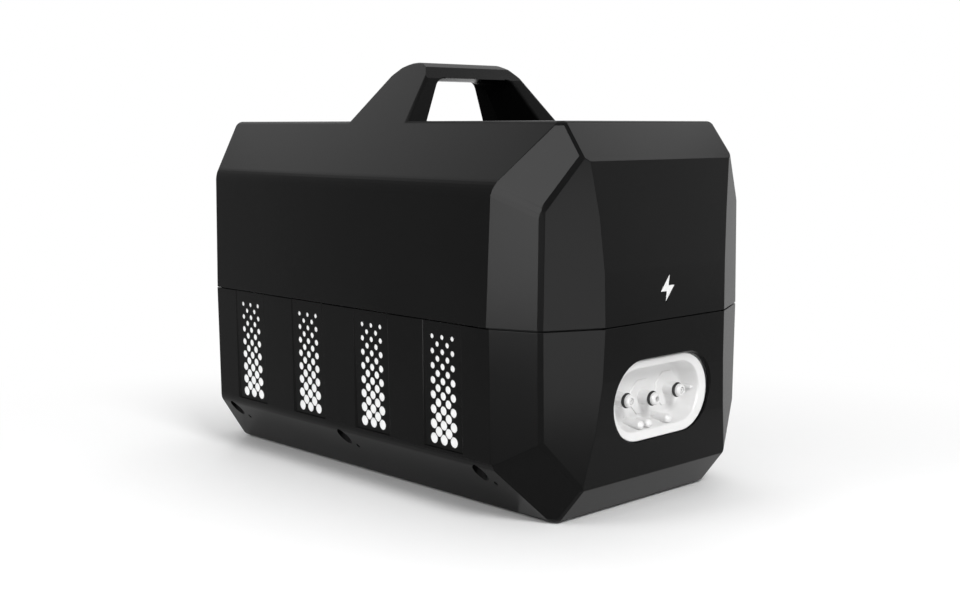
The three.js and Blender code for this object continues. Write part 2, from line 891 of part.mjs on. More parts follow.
function grille() {
  const half = vent.halfWidth - fitGap;
  const shape = new THREE.Shape();
  shape.moveTo(-half, 0);
  shape.lineTo(half, 0);
  shape.lineTo(half, ventRise);
  shape.lineTo(-half, ventRise);
  for (let row = 0; row < vent.rows; row += 1) {
    const columns = row % 2 ? 2 : 3;
    const height = vent.firstRow - row * vent.rowPitch - vent.bottom - fitGap;
    const growShare = row / (vent.rows - 1);
    const radius = vent.smallHole + (vent.largeHole - vent.smallHole) * growShare;
    for (let column = 0; column < columns; column += 1) {
      const x = (column - (columns - 1) / 2) * vent.columnPitch;
      shape.holes.push(hexagon(x, height, radius));
    }
  }
  const geometry = new THREE.ExtrudeGeometry(shape, { depth: vent.skin, bevelEnabled: false });
  geometry.rotateX(Math.PI / 2);
  geometry.translate(0, vent.skin, 0);
  geometry.rotateX(grilleLean);
  return geometry;
}

function hexagon(x, y, radius) {
  const path = new THREE.Path();
  for (let k = 0; k < 6; k += 1) {
    const turn = (-k * Math.PI) / 3;
    const reach = [x + radius * Math.cos(turn), y + radius * Math.sin(turn)];
    if (k) path.lineTo(...reach);
    else path.moveTo(...reach);
  }
  path.closePath();
  return path;
}

// A felt filter for each side: a sheet inside the screw bosses, with a pad that fills each vent up to its
// grille.
function filterSheet() {
  const sheetOuter = screw.y - bossRadius - fitGap;
  const low = vent.bottom + fitGap;
  const high = ventTop - fitGap;
  const half = vent.halfWidth - fitGap;
  const grilleBack = (height) => {
    const share = (height - vent.bottom) / (ventTop - vent.bottom);
    return grilleBottomY + (grilleTopY - grilleBottomY) * share - vent.skin - fitGap;
  };
  const pads = ventCentres.map((x) =>
    hull(
      [low, high].flatMap((height) =>
        [x - half, x + half].flatMap((edge) => [
          new THREE.Vector3(edge, -grilleBack(height), height),
          new THREE.Vector3(edge, -sheetOuter + filter.thickness / 2, height),
        ]),
      ),
    ),
  );
  const reach = ventCentres[vent.count - 1] + half;
  const sheet = block([-reach, -sheetOuter, low], [reach, -sheetOuter + filter.thickness, high]);
  return join(sheet, ...pads);
}

// The socket: a white bowl behind the end wall, with three nipples for the wrap's hoses

function connectorHousing() {
  const body = ovalBlock(
    socketFloorX - wall,
    socket.floorHalf + wall,
    socket.floorHalfHeight + wall,
    socketRimX,
    rimHalf,
    rimHalfHeight,
  );
  const flangeFront = lowerEndAt(socketLow - socket.flangeMargin) - wall - socket.flangeGap;
  const flange = ovalBlock(
    flangeFront - socket.flangeThickness,
    rimHalf + socket.flangeMargin,
    rimHalfHeight + socket.flangeMargin,
    flangeFront,
    rimHalf + socket.flangeMargin,
    rimHalfHeight + socket.flangeMargin,
  );
  const ringSlope = ovalBlock(
    socketRingX,
    socket.ringHalf,
    socket.ringHalfHeight,
    socketRimX,
    rimHalf - socket.lipWidth,
    rimHalfHeight - socket.lipWidth,
  );
  const bowl = ovalBlock(
    socketFloorX,
    socket.floorHalf,
    socket.floorHalfHeight,
    socketRingX,
    socket.ringHalf,
    socket.ringHalfHeight,
  );
  const ribZ = socket.height - socket.floorHalfHeight + socket.ribRise;
  const ribEnd = socketRimX - socket.ribSetback - socket.ribRadius;
  const ribFrom = (start, y) =>
    join(
      bar("x", socket.ribRadius, start, ribEnd, [0, y, ribZ], 10),
      ball(socket.ribRadius, [ribEnd, y, ribZ]),
    ).intersect(body);
  const ribs = [
    ...socket.ribPlaces.map((y) => ribFrom(socketFloorX - wall / 2, y)),
    ribFrom(ribEnd - socket.stubLength, socket.stubPlace),
  ];
  const key = block(
    [
      socketFloorX - wall / 2,
      socket.floorHalf - socket.keyRise,
      socket.height - socket.keyWidth / 2,
    ],
    [
      socketFloorX + socket.keyLength,
      socket.floorHalf + wall,
      socket.height + socket.keyWidth / 2,
    ],
  ).intersect(body);
  const collars = nippleSpots.map(({ y, z }) => {
    const collar = new THREE.CylinderGeometry(
      nipple.collarRadius,
      nipple.collarRadius,
      nipple.collarRise + wall / 2,
      8,
    );
    collar.rotateZ(-Math.PI / 2);
    collar.rotateX(Math.PI / 8);
    collar.translate(socketFloorX + (nipple.collarRise - wall / 2) / 2, y, z);
    return solid(collar).intersect(body);
  });
  const holes = nippleSpots.map(({ y, z }) =>
    bar("x", nipple.barrelRadius + fitGap, socketFloorX - wall * 2, socketRimX, [0, y, z], 16),
  );
  return cut(
    join(cut(join(body, flange), ringSlope, bowl), ...ribs, key, ...collars),
    ...holes,
  );
}

function ball(radius, at) {
  const geometry = new THREE.SphereGeometry(radius, 10, 6);
  geometry.translate(...at);
  return solid(geometry);
}

const grooveWidth = (ring.tube + fitGap) * 2;
const noseFront = nipple.barrelLength + grooveWidth + nipple.noseLength;

// A nipple turned about x, its place given by where its barrel leaves the socket floor.
function nippleBody(spot) {
  const barrelEnd = nipple.barrelLength;
  const grooveEnd = barrelEnd + grooveWidth;
  const chamfer = nipple.noseRadius - nipple.tipRadius;
  const stopDepth = noseFront - nipple.poppetBoreDepth;
  const profile = [
    [nipple.boreRadius, -nipple.tailLength],
    [nipple.barrelRadius, -nipple.tailLength],
    [nipple.barrelRadius, barrelEnd],
    [nipple.grooveRadius, barrelEnd],
    [nipple.grooveRadius, grooveEnd],
    [nipple.noseRadius, grooveEnd],
    [nipple.noseRadius, noseFront - chamfer],
    [nipple.tipRadius, noseFront],
  ];
  if (spot.bore > nipple.boreRadius) {
    profile.push([spot.bore, noseFront], [spot.bore, stopDepth], [nipple.boreRadius, stopDepth]);
  } else {
    profile.push([nipple.boreRadius, noseFront]);
  }
  return alongX(turned(profile), socketFloorX, spot.y, spot.z);
}

// A body turned about z, laid along +x at a place.
function alongX(body, x, y, z) {
  const geometry = geometryOf(body);
  geometry.rotateY(Math.PI / 2);
  geometry.translate(x, y, z);
  return geometry;
}

function oRing(spot) {
  const steps = 6;
  const middle = nipple.grooveRadius + fitGap + ring.tube;
  const profile = Array.from({ length: steps }, (_, k) => {
    const turn = (k * 2 * Math.PI) / steps;
    return [middle + ring.tube * Math.cos(turn), ring.tube * Math.sin(turn)];
  });
  const x = socketFloorX + nipple.barrelLength + grooveWidth / 2;
  return alongX(turned(profile, 16), x, spot.y, spot.z);
}

function poppetBody(spot) {
  const front = noseFront - poppet.sink;
  const profile = [
    [0, front - poppet.length],
    [poppet.radius, front - poppet.length],
    [poppet.radius, front],
    [poppet.slotRadius, front],
    [poppet.slotRadius, front - poppet.slotDepth],
    [0, front - poppet.slotDepth],
  ];
  return alongX(turned(profile, 10), socketFloorX, spot.y, spot.z);
}

// The power symbol on the end face, a plain zigzag flash set flush in its own pocket.

function flashShape(margin) {
  const halfWidth = indicator.width / 2;
  const halfTall = indicator.tall / 2;
  const waist = indicator.waist;
  const corners = [
    [waist, halfTall],
    [-halfWidth, -waist],
    [-waist / 2, -waist],
    [-waist, -halfTall],
    [halfWidth, waist],
    [waist / 2, waist],
  ].map(([x, y]) => new THREE.Vector2(x, y));
  return new THREE.Shape(corners.map((corner, k) => movedOut(corners, k, margin)));
}

// A corner of an outline that runs anticlockwise, moved so that both its edges lie further out by the margin.
function movedOut(corners, k, margin) {
  const corner = corners[k];
  const before = corner.clone().sub(corners.at(k - 1)).normalize();
  const after = corners[(k + 1) % corners.length].clone().sub(corner).normalize();
  const outwards = new THREE.Vector2(before.y + after.y, -before.x - after.x).normalize();
  const reach = margin / outwards.dot(new THREE.Vector2(before.y, -before.x));
  return corner.clone().addScaledVector(outwards, reach);
}

const indicatorHeight = seamHeight + indicator.aboveSeam;
const indicatorFace = upperEndAt(indicatorHeight + indicator.tall / 2);

function flash(margin, from, to) {
  const geometry = new THREE.ExtrudeGeometry(flashShape(margin), {
    depth: to - from,
    bevelEnabled: false,
  });
  geometry.rotateX(Math.PI / 2);
  geometry.rotateZ(Math.PI / 2);
  geometry.translate(from, 0, indicatorHeight);
  return solid(geometry);
}

const indicatorPocket = () =>
  flash(fitGap, indicatorFace - indicator.thickness - fitGap, caseEnd + overrun);

// Controls in the top face

const bezelTop = topFace - panel.sink;
const bezelBottom = bezelTop - panel.thickness;
const buttonTop = bezelTop;
const buttonBottom = buttonTop - button.stem;
const flangeTop = bezelBottom - fitGap;

function controlBezel() {
  const outline = roundedRectangle(
    panel.length - fitGap * 2,
    panel.width - fitGap * 2,
    panel.corner - fitGap,
  );
  const paneHole = roundedRectangle(pane.length + fitGap * 2, pane.width + fitGap * 2, pane.corner);
  return cut(
    slab(outline, bezelBottom, bezelTop, [panel.x, 0]),
    slab(paneHole, bezelBottom - overrun, bezelTop + overrun, [pane.x, 0]),
    ...buttonSpots.map(({ x, y, radius }) =>
      bar("z", radius + fitGap, bezelBottom - overrun, bezelTop + overrun, [x, y, 0]),
    ),
  );
}

function buttonBody({ x, y, radius }) {
  return join(
    bar("z", radius, buttonBottom, buttonTop, [x, y, 0]),
    bar("z", radius + button.flange, flangeTop - button.flangeThickness, flangeTop, [x, y, 0]),
  );
}

function controlBoard() {
  const boardBottom = boardTop - board.thickness;
  const plate = slab(roundedRectangle(boardLength, boardWidth, panel.corner), boardBottom, boardTop, [
    panel.x,
    0,
  ]);
  const paneBottom = bezelTop - pane.thickness;
  const display = block(
    [pane.x - pane.length / 2, -pane.width / 2, boardTop - board.thickness / 2],
    [pane.x + pane.length / 2, pane.width / 2, paneBottom - seatGap],
  );
  const switches = buttonSpots.map(({ x, y }) => {
    const top = buttonBottom - button.travel - fitGap;
    return bar("z", board.switchRadius, boardTop - board.thickness / 2, top, [x, y, 0], 8);
  });
  return join(plate, display, ...switches);
}

// The hatch over the filler, hinged at the end away from the handle

function hatchLid() {
  const plateBottom = topFace - hatch.lidThickness;
  const farEdge = hatch.x + hatch.length / 2 - fitGap;
  const nearEdge = hingeX + hatch.barrelRadius + fitGap;
  const plate = slab(
    roundedRectangle(farEdge - nearEdge, hatch.width - fitGap * 2, hatch.corner - fitGap),
    plateBottom,
    topFace,
    [(farEdge + nearEdge) / 2, 0],
  );
  const barrelHalf = wellHalf - fitGap;
  const bridge = block(
    [hingeX, -barrelHalf, plateBottom],
    [nearEdge + hatch.corner, barrelHalf, topFace],
  );
  const barrel = bar("y", hatch.barrelRadius, -barrelHalf, barrelHalf, [hingeX, 0, hingeZ], 16);
  const bore = bar(
    "y",
    hatch.pinRadius + fitGap / 2,
    -barrelHalf - overrun,
    barrelHalf + overrun,
    [hingeX, 0, hingeZ],
    12,
  );
  return cut(join(plate, bridge, barrel), bore);
}

const hatchPin = () => bar("y", hatch.pinRadius, -pinHalf, pinHalf, [hingeX, 0, hingeZ], 12);

// The water tank and its screw cap

function waterTank() {
  const outline = roundedRectangle(tank.length, tank.width, tank.corner);
  const hollow = roundedRectangle(
    tank.length - tank.wall * 2,
    tank.width - tank.wall * 2,
    tank.corner - tank.wall,
  );
  const face = tank.x + tank.length / 2;
  return cut(
    join(
      slab(outline, tank.bottom, tank.top, [tank.x, 0]),
      bar("z", tank.neckRadius, tank.top - tank.wall, tank.neckTop, [hatch.x, 0, 0], 24),
      bar("x", tank.spigotRadius, face - tank.wall, face + tank.spigotLength, tankOutlet, 12),
    ),
    slab(hollow, tank.bottom + tank.wall, tank.top - tank.wall, [tank.x, 0]),
    bar(
      "z",
      tank.neckRadius - tank.wall,
      tank.top - tank.wall * 2,
      tank.neckTop + overrun,
      [hatch.x, 0, 0],
      24,
    ),
    bar(
      "x",
      tank.spigotRadius - tank.wall / 2,
      face - tank.wall * 2,
      face + tank.spigotLength + overrun,
      tankOutlet,
      12,
    ),
  );
}

const tankOutlet = [0, pumpY, tank.spigotHeight];

function fillerCap() {
  const outer = tank.neckRadius + cap.skirt;
  const bore = tank.neckRadius + fitGap;
  const lidBottom = tank.neckTop + fitGap;
  const skirtBottom = tank.neckTop - cap.depth + fitGap;
  const disc = bar("z", outer, skirtBottom, lidBottom + cap.top, [hatch.x, 0, 0], 24);
  const inside = bar("z", bore, skirtBottom - overrun, lidBottom, [hatch.x, 0, 0], 24);
  const grip = block(
    [hatch.x - outer + cap.skirt, -cap.gripWidth / 2, lidBottom + cap.top / 2],
    [hatch.x + outer - cap.skirt, cap.gripWidth / 2, lidBottom + cap.top + cap.gripRise],
  );
  return join(cut(disc, inside), grip);
}

// The heat exchanger: finned sink, two thermoelectric modules and the cold block on top of them

function heatSink() {
  const half = sink.length / 2;
  const pitch = (sink.length - sink.finThickness) / (sink.fins - 1);
  const shape = new THREE.Shape();
  shape.moveTo(-half, sink.baseBottom + sink.baseThickness);
  for (let k = 0; k < sink.fins; k += 1) {
    const left = -half + k * pitch;
    const right = left + sink.finThickness;
    shape.lineTo(left, k ? sink.baseBottom : sink.finBottom);
    shape.lineTo(left, sink.finBottom);
    shape.lineTo(right, sink.finBottom);
    shape.lineTo(right, k < sink.fins - 1 ? sink.baseBottom : sink.finBottom);
  }
  shape.lineTo(half, sink.baseBottom + sink.baseThickness);
  const geometry = new THREE.ExtrudeGeometry(shape, { depth: sink.width, bevelEnabled: false });
  geometry.rotateX(Math.PI / 2);
  geometry.translate(sink.x, sink.width / 2, 0);
  return solid(geometry);
}

const moduleBottom = sink.baseBottom + sink.baseThickness + seatGap;
const blockBottom = moduleBottom + cooler.thickness + seatGap;

const thermoelectricModule = (side) => {
  const x = sink.x + (side * cooler.spacing) / 2;
  const half = cooler.size / 2;
  return block([x - half, -half, moduleBottom], [x + half, half, moduleBottom + cooler.thickness]);
};

const blockSpigotZ = blockBottom + coldBlock.thickness / 2;
const blockSpigotY = coldBlock.width / 4;

function coldBlockBody() {
  const half = coldBlock.length / 2;
  const low = [sink.x - half, -coldBlock.width / 2, blockBottom];
  const high = [sink.x + half, coldBlock.width / 2, blockBottom + coldBlock.thickness];
  const spigots = [-1, 1].map((side) =>
    bar(
      "x",
      coldBlock.spigotRadius,
      sink.x + half - wall,
      sink.x + half + coldBlock.spigotLength,
      [0, side * blockSpigotY, blockSpigotZ],
      12,
    ),
  );
  return join(block(low, high), ...spigots);
}

// Two fans on the left face of the sink, blowing along y

const fanY = -sink.width / 2 - fitGap - fan.depth;
const fanZ = sink.finBottom + fan.size / 2;

function fanFrame() {
  const half = fan.size / 2;
  const ringBody = cut(
    block([-half, 0, -half], [half, fan.depth, half]),
    bar("y", fan.boreRadius, -overrun, fan.depth + overrun, [0, 0, 0], 24),
  );
  const strutTop = fan.strutDepth;
  const reach = (half + fan.boreRadius) / 2;
  const struts = [
    block([-reach, 0, -fan.strutWidth / 2], [reach, strutTop, fan.strutWidth / 2]),
    block([-fan.strutWidth / 2, 0, -reach], [fan.strutWidth / 2, strutTop, reach]),
  ];
  const hub = bar("y", fan.hubRadius, 0, strutTop, [0, 0, 0], 16);
  const axle = bar("y", fan.axleRadius, strutTop / 2, fan.depth - wall, [0, 0, 0], 12);
  return geometryOf(join(ringBody, ...struts, hub, axle));
}

function fanRotor() {
  const back = fan.strutDepth + fitGap * 2;
  const front = fan.depth - wall / 2;
  const hub = bar("y", fan.hubRadius, back, front, [0, 0, 0], 16);
  const boreRadius = fan.axleRadius + fitGap / 2;
  const bore = bar("y", boreRadius, back - overrun, fan.depth - wall + fitGap, [0, 0, 0], 12);
  const blades = Array.from({ length: fan.blades }, (_, k) => {
    const depth = front - back - fitGap * 2;
    const blade = new THREE.BoxGeometry(
      fan.bladeRadius - fan.hubRadius / 2,
      depth / Math.cos(THREE.MathUtils.degToRad(fan.bladeTwist)) - fan.bladeThickness * 2,
      fan.bladeThickness,
    );
    blade.rotateX(THREE.MathUtils.degToRad(fan.bladeTwist));
    blade.translate((fan.bladeRadius + fan.hubRadius / 2) / 2, (front + back) / 2, 0);
    blade.rotateY((k * 2 * Math.PI) / fan.blades);
    return solid(blade);
  });
  return geometryOf(cut(join(hub, ...blades), bore));
}

// The water pump, with its impeller behind an inlet in the face towards the tank

const pumpFace = pump.x - pump.length / 2;
const pumpAxis = [0, pumpY, tank.spigotHeight];
const pumpTop = pump.bottom + pump.height;

function pumpBody() {
  const low = [pumpFace, pumpY - pump.width / 2, pump.bottom];
  const high = [pump.x + pump.length / 2, pumpY + pump.width / 2, pumpTop];
  const chamberFront = pumpFace + wall;
  const chamber = bar(
    "x",
    pump.chamberRadius,
    chamberFront,
    chamberFront + pump.chamberDepth,
    pumpAxis,
    24,
  );
  const inletHole = bar("x", pump.inletRadius, pumpFace - overrun, chamberFront + overrun, pumpAxis, 16);
  const axleHole = bar(
    "x",
    pump.axleRadius + fitGap,
    chamberFront,
    chamberFront + pump.axleLength + fitGap * 2,
    pumpAxis,
    12,
  );
  const spigot = bar(
    "z",
    pump.spigotRadius,
    pumpTop - wall,
    pumpTop + pump.spigotLength,
    [pump.x, pumpY, 0],
    12,
  );
  return cut(join(block(low, high), spigot), chamber, inletHole, axleHole);
}

function pumpImpeller() {
  const front = pumpFace + wall + fitGap * 2;
  const disc = bar(
    "x",
    pump.impellerRadius,
    front + pump.vaneHeight,
    front + pump.vaneHeight + pump.impellerDisc,
    pumpAxis,
    24,
  );
  const axle = bar(
    "x",
    pump.axleRadius,
    front,
    front + pump.axleLength - fitGap * 2,
    pumpAxis,
    12,
  );
  const vanes = Array.from({ length: pump.vanes }, (_, k) => {
    const vane = new THREE.BoxGeometry(
      pump.vaneHeight + pump.impellerDisc / 2,
      pump.impellerRadius - pump.axleRadius / 2,
      pump.vaneThickness,
    );
    vane.translate(
      (pump.vaneHeight + pump.impellerDisc / 2) / 2,
      (pump.impellerRadius + pump.axleRadius / 2) / 2 - fitGap,
      0,
    );
    vane.rotateX((k * 2 * Math.PI) / pump.vanes);
    vane.translate(front, pumpAxis[1], pumpAxis[2]);
    return solid(vane);
  });
  return join(disc, axle, ...vanes);
}

// The air pump: a box with its motor lying on top

function airPumpBody() {
  const top = airPump.bottom + airPump.height;
  const low = [airPump.x - airPump.length / 2, airPump.y - airPump.width / 2, airPump.bottom];
  const high = [airPump.x + airPump.length / 2, airPump.y + airPump.width / 2, top];
  const motor = bar(
    "y",
    airPump.motorRadius,
    airPump.y - airPump.width / 2 + wall,
    airPump.y + airPump.width / 2 - wall,
    [airPump.x, 0, top + airPump.motorRise - airPump.motorRadius],
    16,
  );
  return join(block(low, high), motor);
}

// The valve block that splits the water and air to the nipples' tails

const nippleTail = socketFloorX - nipple.tailLength;
const valveFront = nippleTail - seatGap;
const valveX = valveFront - valve.length / 2;
const valveBottom = socket.height - valve.height / 2;
const valveSpigot = [valveX, 0, valveBottom + valve.height + valve.spigotLength];

function valveBlock() {
  const low = [valveFront - valve.length, -valve.width / 2, valveBottom];
  const high = [valveFront, valve.width / 2, valveBottom + valve.height];
  const spigot = bar(
    "z",
    hose.radius,
    valveBottom + valve.height - wall,
    valveSpigot[2],
    [valveX, 0, 0],
    12,
  );
  return join(block(low, high), spigot);
}

// A hose of even radius along a smooth run of points.
function hoseAlong(points) {
  const path = new THREE.CatmullRomCurve3(points.map((point) => new THREE.Vector3(...point)));
  const section = new THREE.Shape();
  section.absarc(0, 0, hose.radius, 0, Math.PI * 2);
  return new THREE.ExtrudeGeometry(section, {
    extrudePath: path,
    steps: points.length * 3,
    curveSegments: hose.sides / 2,
    bevelEnabled: false,
  });
}

function suctionHose() {
  const start = tank.x + tank.length / 2 + tank.spigotLength + seatGap;
  const end = pumpFace - seatGap;
  const straight = (x) => [x, pumpY, tank.spigotHeight];
  return hoseAlong([straight(start), straight((start + end) / 2), straight(end)]);
}

function pressureHose() {
  const start = [pump.x, pumpY, pumpTop + pump.spigotLength + seatGap];
  const end = [blockEnd, -blockSpigotY, blockSpigotZ];
  return hoseAlong([
    start,
    [start[0], start[1], start[2] + hose.radius * 3],
    [start[0], (start[1] + end[1]) / 2, (start[2] + end[2]) / 2 + hose.radius * 3],
    [start[0] - hose.radius * 3, end[1], end[2] + hose.radius],
    [end[0] + hose.radius * 2, end[1], end[2]],
    end,
  ]);
}

const blockEnd = sink.x + coldBlock.length / 2 + coldBlock.spigotLength + seatGap;

function deliveryHose() {
  const start = [blockEnd, blockSpigotY, blockSpigotZ];
  const end = [valveSpigot[0], valveSpigot[1], valveSpigot[2] + seatGap];
  return hoseAlong([
    start,
    [start[0] + hose.radius * 2, start[1], start[2]],
    [(start[0] + end[0]) / 2, start[1], start[2] + hose.radius],
    [end[0] - hose.radius * 3, end[1] + hose.radius, start[2]],
    [end[0], end[1], end[2] + hose.radius * 4],
    end,
  ]);
}

const powerSupply = () =>
  slab(
    roundedRectangle(supply.length, supply.width, supply.corner),
    supply.bottom,
    supply.bottom + supply.height,
    [supply.x, 0],
    1,
  );

// The mains inlet and its switch, in the end away from the socket

function powerInlet() {
  const flange = slabToEnd(
    roundedRectangle(inlet.flangeHeight, inlet.flangeWidth, inlet.corner),
    inletSeatX - inlet.flangeThickness,
    inletSeatX - fitGap,
  );
  const front = inletSeatX - inlet.flangeThickness;
  const body = block(
    [front + fitGap, inlet.y - inlet.bodyWidth / 2, inlet.height - inlet.bodyHeight / 2],
    [front + inlet.bodyDepth, inlet.y + inlet.bodyWidth / 2, inlet.height + inlet.bodyHeight / 2],
  );
  const socketY = inlet.y + inlet.socketY;
  const cavity = slabToEnd(
    roundedRectangle(inlet.socketHeight, inlet.socketWidth, inlet.corner),
    front - overrun,
    front + inlet.socketDepth,
    socketY,
  );
  const rockerY = inlet.y + rocker.y;
  const wellHalfWidth = rocker.width / 2 + fitGap;
  const wellHalfHeight = rocker.height / 2 + fitGap * 4;
  const rockerWell = block(
    [front - overrun, rockerY - wellHalfWidth, inlet.height - wellHalfHeight],
    [front + rocker.depth, rockerY + wellHalfWidth, inlet.height + wellHalfHeight],
  );
  const pinAt = (y, z) =>
    block(
      [front + inlet.socketDepth - inlet.pinLength, y - inlet.pinThickness / 2, z - inlet.pinWidth / 2],
      [front + inlet.socketDepth + wall, y + inlet.pinThickness / 2, z + inlet.pinWidth / 2],
    );
  const pins = [
    pinAt(socketY, inlet.height + inlet.pinRise),
    pinAt(socketY - inlet.pinSpread, inlet.height - inlet.pinRise),
    pinAt(socketY + inlet.pinSpread, inlet.height - inlet.pinRise),
  ];
  return join(cut(join(flange, body), cavity, rockerWell), ...pins);
}

const rockerX = inletSeatX - inlet.flangeThickness + rocker.thickness / 2;

// The rocker's bar is bowed outwards at its ends and rests tipped one way.
function rockerSwitch() {
  const half = rocker.height / 2;
  const shape = new THREE.Shape();
  shape.moveTo(0, -rocker.thickness / 2);
  shape.lineTo(rocker.thickness / 2, -half / 2);
  shape.lineTo(rocker.thickness / 2, half / 2);
  shape.lineTo(0, half);
  shape.lineTo(-rocker.thickness / 2 - rocker.bulge, half);
  shape.lineTo(-rocker.thickness / 2, 0);
  shape.lineTo(-rocker.thickness / 2 - rocker.bulge, -half);
  shape.lineTo(0, -half);
  const geometry = new THREE.ExtrudeGeometry(shape, { depth: rocker.width, bevelEnabled: false });
  geometry.translate(0, 0, -rocker.width / 2);
  geometry.rotateX(Math.PI / 2);
  geometry.rotateY(THREE.MathUtils.degToRad(rocker.restAngle));
  return geometry;
}

function footStrip(side) {
  const x = side * foot.x;
  return block(
    [x - foot.length / 2, -foot.width / 2, -foot.proud],
    [x + foot.length / 2, foot.width / 2, foot.sunk - fitGap],
  );
}

function caseScrew() {
  const headBottom = -screw.headHeight;
  const profile = [
    [0, screw.shankLength],
    [0, headBottom + screw.driveDepth],
    [screw.driveRadius, headBottom + screw.driveDepth],
    [screw.driveRadius, headBottom],
    [screw.headRadius, headBottom],
    [screw.headRadius, -fitGap],
    [screw.shankRadius, -fitGap],
    [screw.shankRadius, screw.shankLength],
  ];
  return geometryOf(turned(profile, 10));
}

// Assembly

const machine = new THREE.Group();
machine.position.z = foot.proud;

place("upper_shell", upperShell(), blackPlastic, machine);
place("lower_shell", lowerShell(), blackPlastic, machine);

// The right side is the left side turned half a turn about z.
for (const side of ["left", "right"]) {
  const flank = new THREE.Group();
  if (side === "right") flank.rotation.z = Math.PI;
  ventCentres.forEach((x, k) => {
    const number = side === "left" ? k + 1 : vent.count - k;
    const panelMesh = place(`vent_grille_${side}_${number}`, grille(), blackPlastic, flank);
    panelMesh.position.set(x, -grilleBottomY, vent.bottom + fitGap);
  });
  place(`filter_sheet_${side}`, filterSheet(), whiteFelt, flank);
  machine.add(flank);
}

place("connector_housing", connectorHousing(), whitePlastic, machine);
for (const spot of nippleSpots) {
  place(`nipple_${spot.name}`, nippleBody(spot), whitePlastic, machine);
  place(`o_ring_${spot.name}`, oRing(spot), blackRubber, machine);
  if (spot.bore > nipple.boreRadius) {
    place(`poppet_${spot.name}`, poppetBody(spot), whitePlastic, machine);
  }
}
place(
  "indicator_lens",
  flash(0, indicatorFace - indicator.thickness, indicatorFace),
  whitePlastic,
  machine,
);

place("control_bezel", controlBezel(), panelBlack, machine);
place(
  "display_window",
  slab(
    roundedRectangle(pane.length, pane.width, pane.corner),
    bezelTop - pane.thickness,
    bezelTop,
    [pane.x, 0],
  ),
  darkGlass,
  machine,
);
for (const spot of buttonSpots) {
  place(`button_${spot.name}`, buttonBody(spot), buttonGrey, machine);
}
place("control_board", controlBoard(), boardGreen, machine);

place("hatch_lid", hatchLid(), blackPlastic, machine);
place("hatch_pin", hatchPin(), steel, machine);
place("water_tank", waterTank(), naturalPlastic, machine);
place("filler_cap", fillerCap(), buttonGrey, machine);

place("heat_sink", heatSink(), aluminium, machine);
place("thermoelectric_module_1", thermoelectricModule(-1), ceramic, machine);
place("thermoelectric_module_2", thermoelectricModule(1), ceramic, machine);
place("cold_block", coldBlockBody(), aluminium, machine);
[-1, 1].forEach((side, k) => {
  const fanPlace = new THREE.Group();
  fanPlace.position.set(sink.x + (side * fan.pitch) / 2, fanY, fanZ);
  place(`fan_frame_${k + 1}`, fanFrame(), blackPlastic, fanPlace);
  place(`fan_rotor_${k + 1}`, fanRotor(), panelBlack, fanPlace);
  machine.add(fanPlace);
});

place("power_supply", powerSupply(), steel, machine);
place("pump_body", pumpBody(), blackPlastic, machine);
place("pump_impeller", pumpImpeller(), whitePlastic, machine);
place("air_pump", airPumpBody(), blackPlastic, machine);
place("valve_block", valveBlock(), naturalPlastic, machine);
place("hose_suction", suctionHose(), hoseGrey, machine);
place("hose_pressure", pressureHose(), hoseGrey, machine);
place("hose_delivery", deliveryHose(), hoseGrey, machine);

place("power_inlet", powerInlet(), panelBlack, machine);
place("rocker_switch", rockerSwitch(), panelBlack, machine).position.set(
  rockerX,
  inlet.y + rocker.y,
  inlet.height,
);
place("foot_strip_front", footStrip(1), blackRubber, machine);
place("foot_strip_rear", footStrip(-1), blackRubber, machine);
screwSpots.forEach(({ x, y }, k) => {
  const screwMesh = place(`case_screw_${k + 1}`, caseScrew(), steel, machine);
  screwMesh.position.set(x, y, screwSeat);
});

export default machine;
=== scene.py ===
# %% [markdown]
# # A hot and cold therapy machine
# This lesson dresses a finished CAD model for the camera. The model gives every size and every moving body.
# Blender adds what a solid can't show: rounded edges, moulded grain, fine perforations and studio light.
# Lengths named here are in millimetres, as on a drawing, and become metres when a mesh is made.

import math
from contextlib import contextmanager
from functools import partial

import bmesh
import bpy
from mathutils import Matrix, Quaternion, Vector


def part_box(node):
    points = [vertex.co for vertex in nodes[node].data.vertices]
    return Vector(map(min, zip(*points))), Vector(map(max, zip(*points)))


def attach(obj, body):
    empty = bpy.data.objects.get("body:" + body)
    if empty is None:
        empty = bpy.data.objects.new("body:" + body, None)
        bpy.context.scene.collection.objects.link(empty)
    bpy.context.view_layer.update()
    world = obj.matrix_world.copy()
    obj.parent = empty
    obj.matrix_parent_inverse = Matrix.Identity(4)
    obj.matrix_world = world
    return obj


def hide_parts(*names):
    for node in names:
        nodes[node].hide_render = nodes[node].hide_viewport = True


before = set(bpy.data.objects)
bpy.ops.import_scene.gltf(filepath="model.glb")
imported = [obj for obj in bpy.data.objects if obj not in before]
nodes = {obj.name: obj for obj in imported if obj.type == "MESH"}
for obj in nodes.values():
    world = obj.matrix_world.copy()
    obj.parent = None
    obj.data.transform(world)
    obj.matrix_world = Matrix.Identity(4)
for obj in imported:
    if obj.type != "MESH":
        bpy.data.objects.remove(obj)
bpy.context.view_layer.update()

MM = 0.001
FOOT_PROUD = 1.0


def at(x, y, z):
    """A point of the machine, in millimetres above the underside of its case, as a point of the scene."""
    return Vector((x, y, z + FOOT_PROUD)) * MM


# %% [markdown]
# # The camera
# A photograph of a box has two vanishing points along its edges, and they give the lens and the direction.
# Here that is a 50 mm lens on a 36 mm frame, 0.8 m from the nearest corner and about as high as the case.

# %% Camera
LENS = 50
FILM_WIDTH = 36
CAMERA_PLACE = (0.7659, -0.70954, 0.26269)
CAMERA_LOOK = Vector((-0.7155, 0.6864, -0.1296))

scene = bpy.context.scene
scene.view_settings.view_transform = "Standard"


def linked(name, data):
    """A new object in the scene."""
    made = bpy.data.objects.new(name, data)
    scene.collection.objects.link(made)
    return made


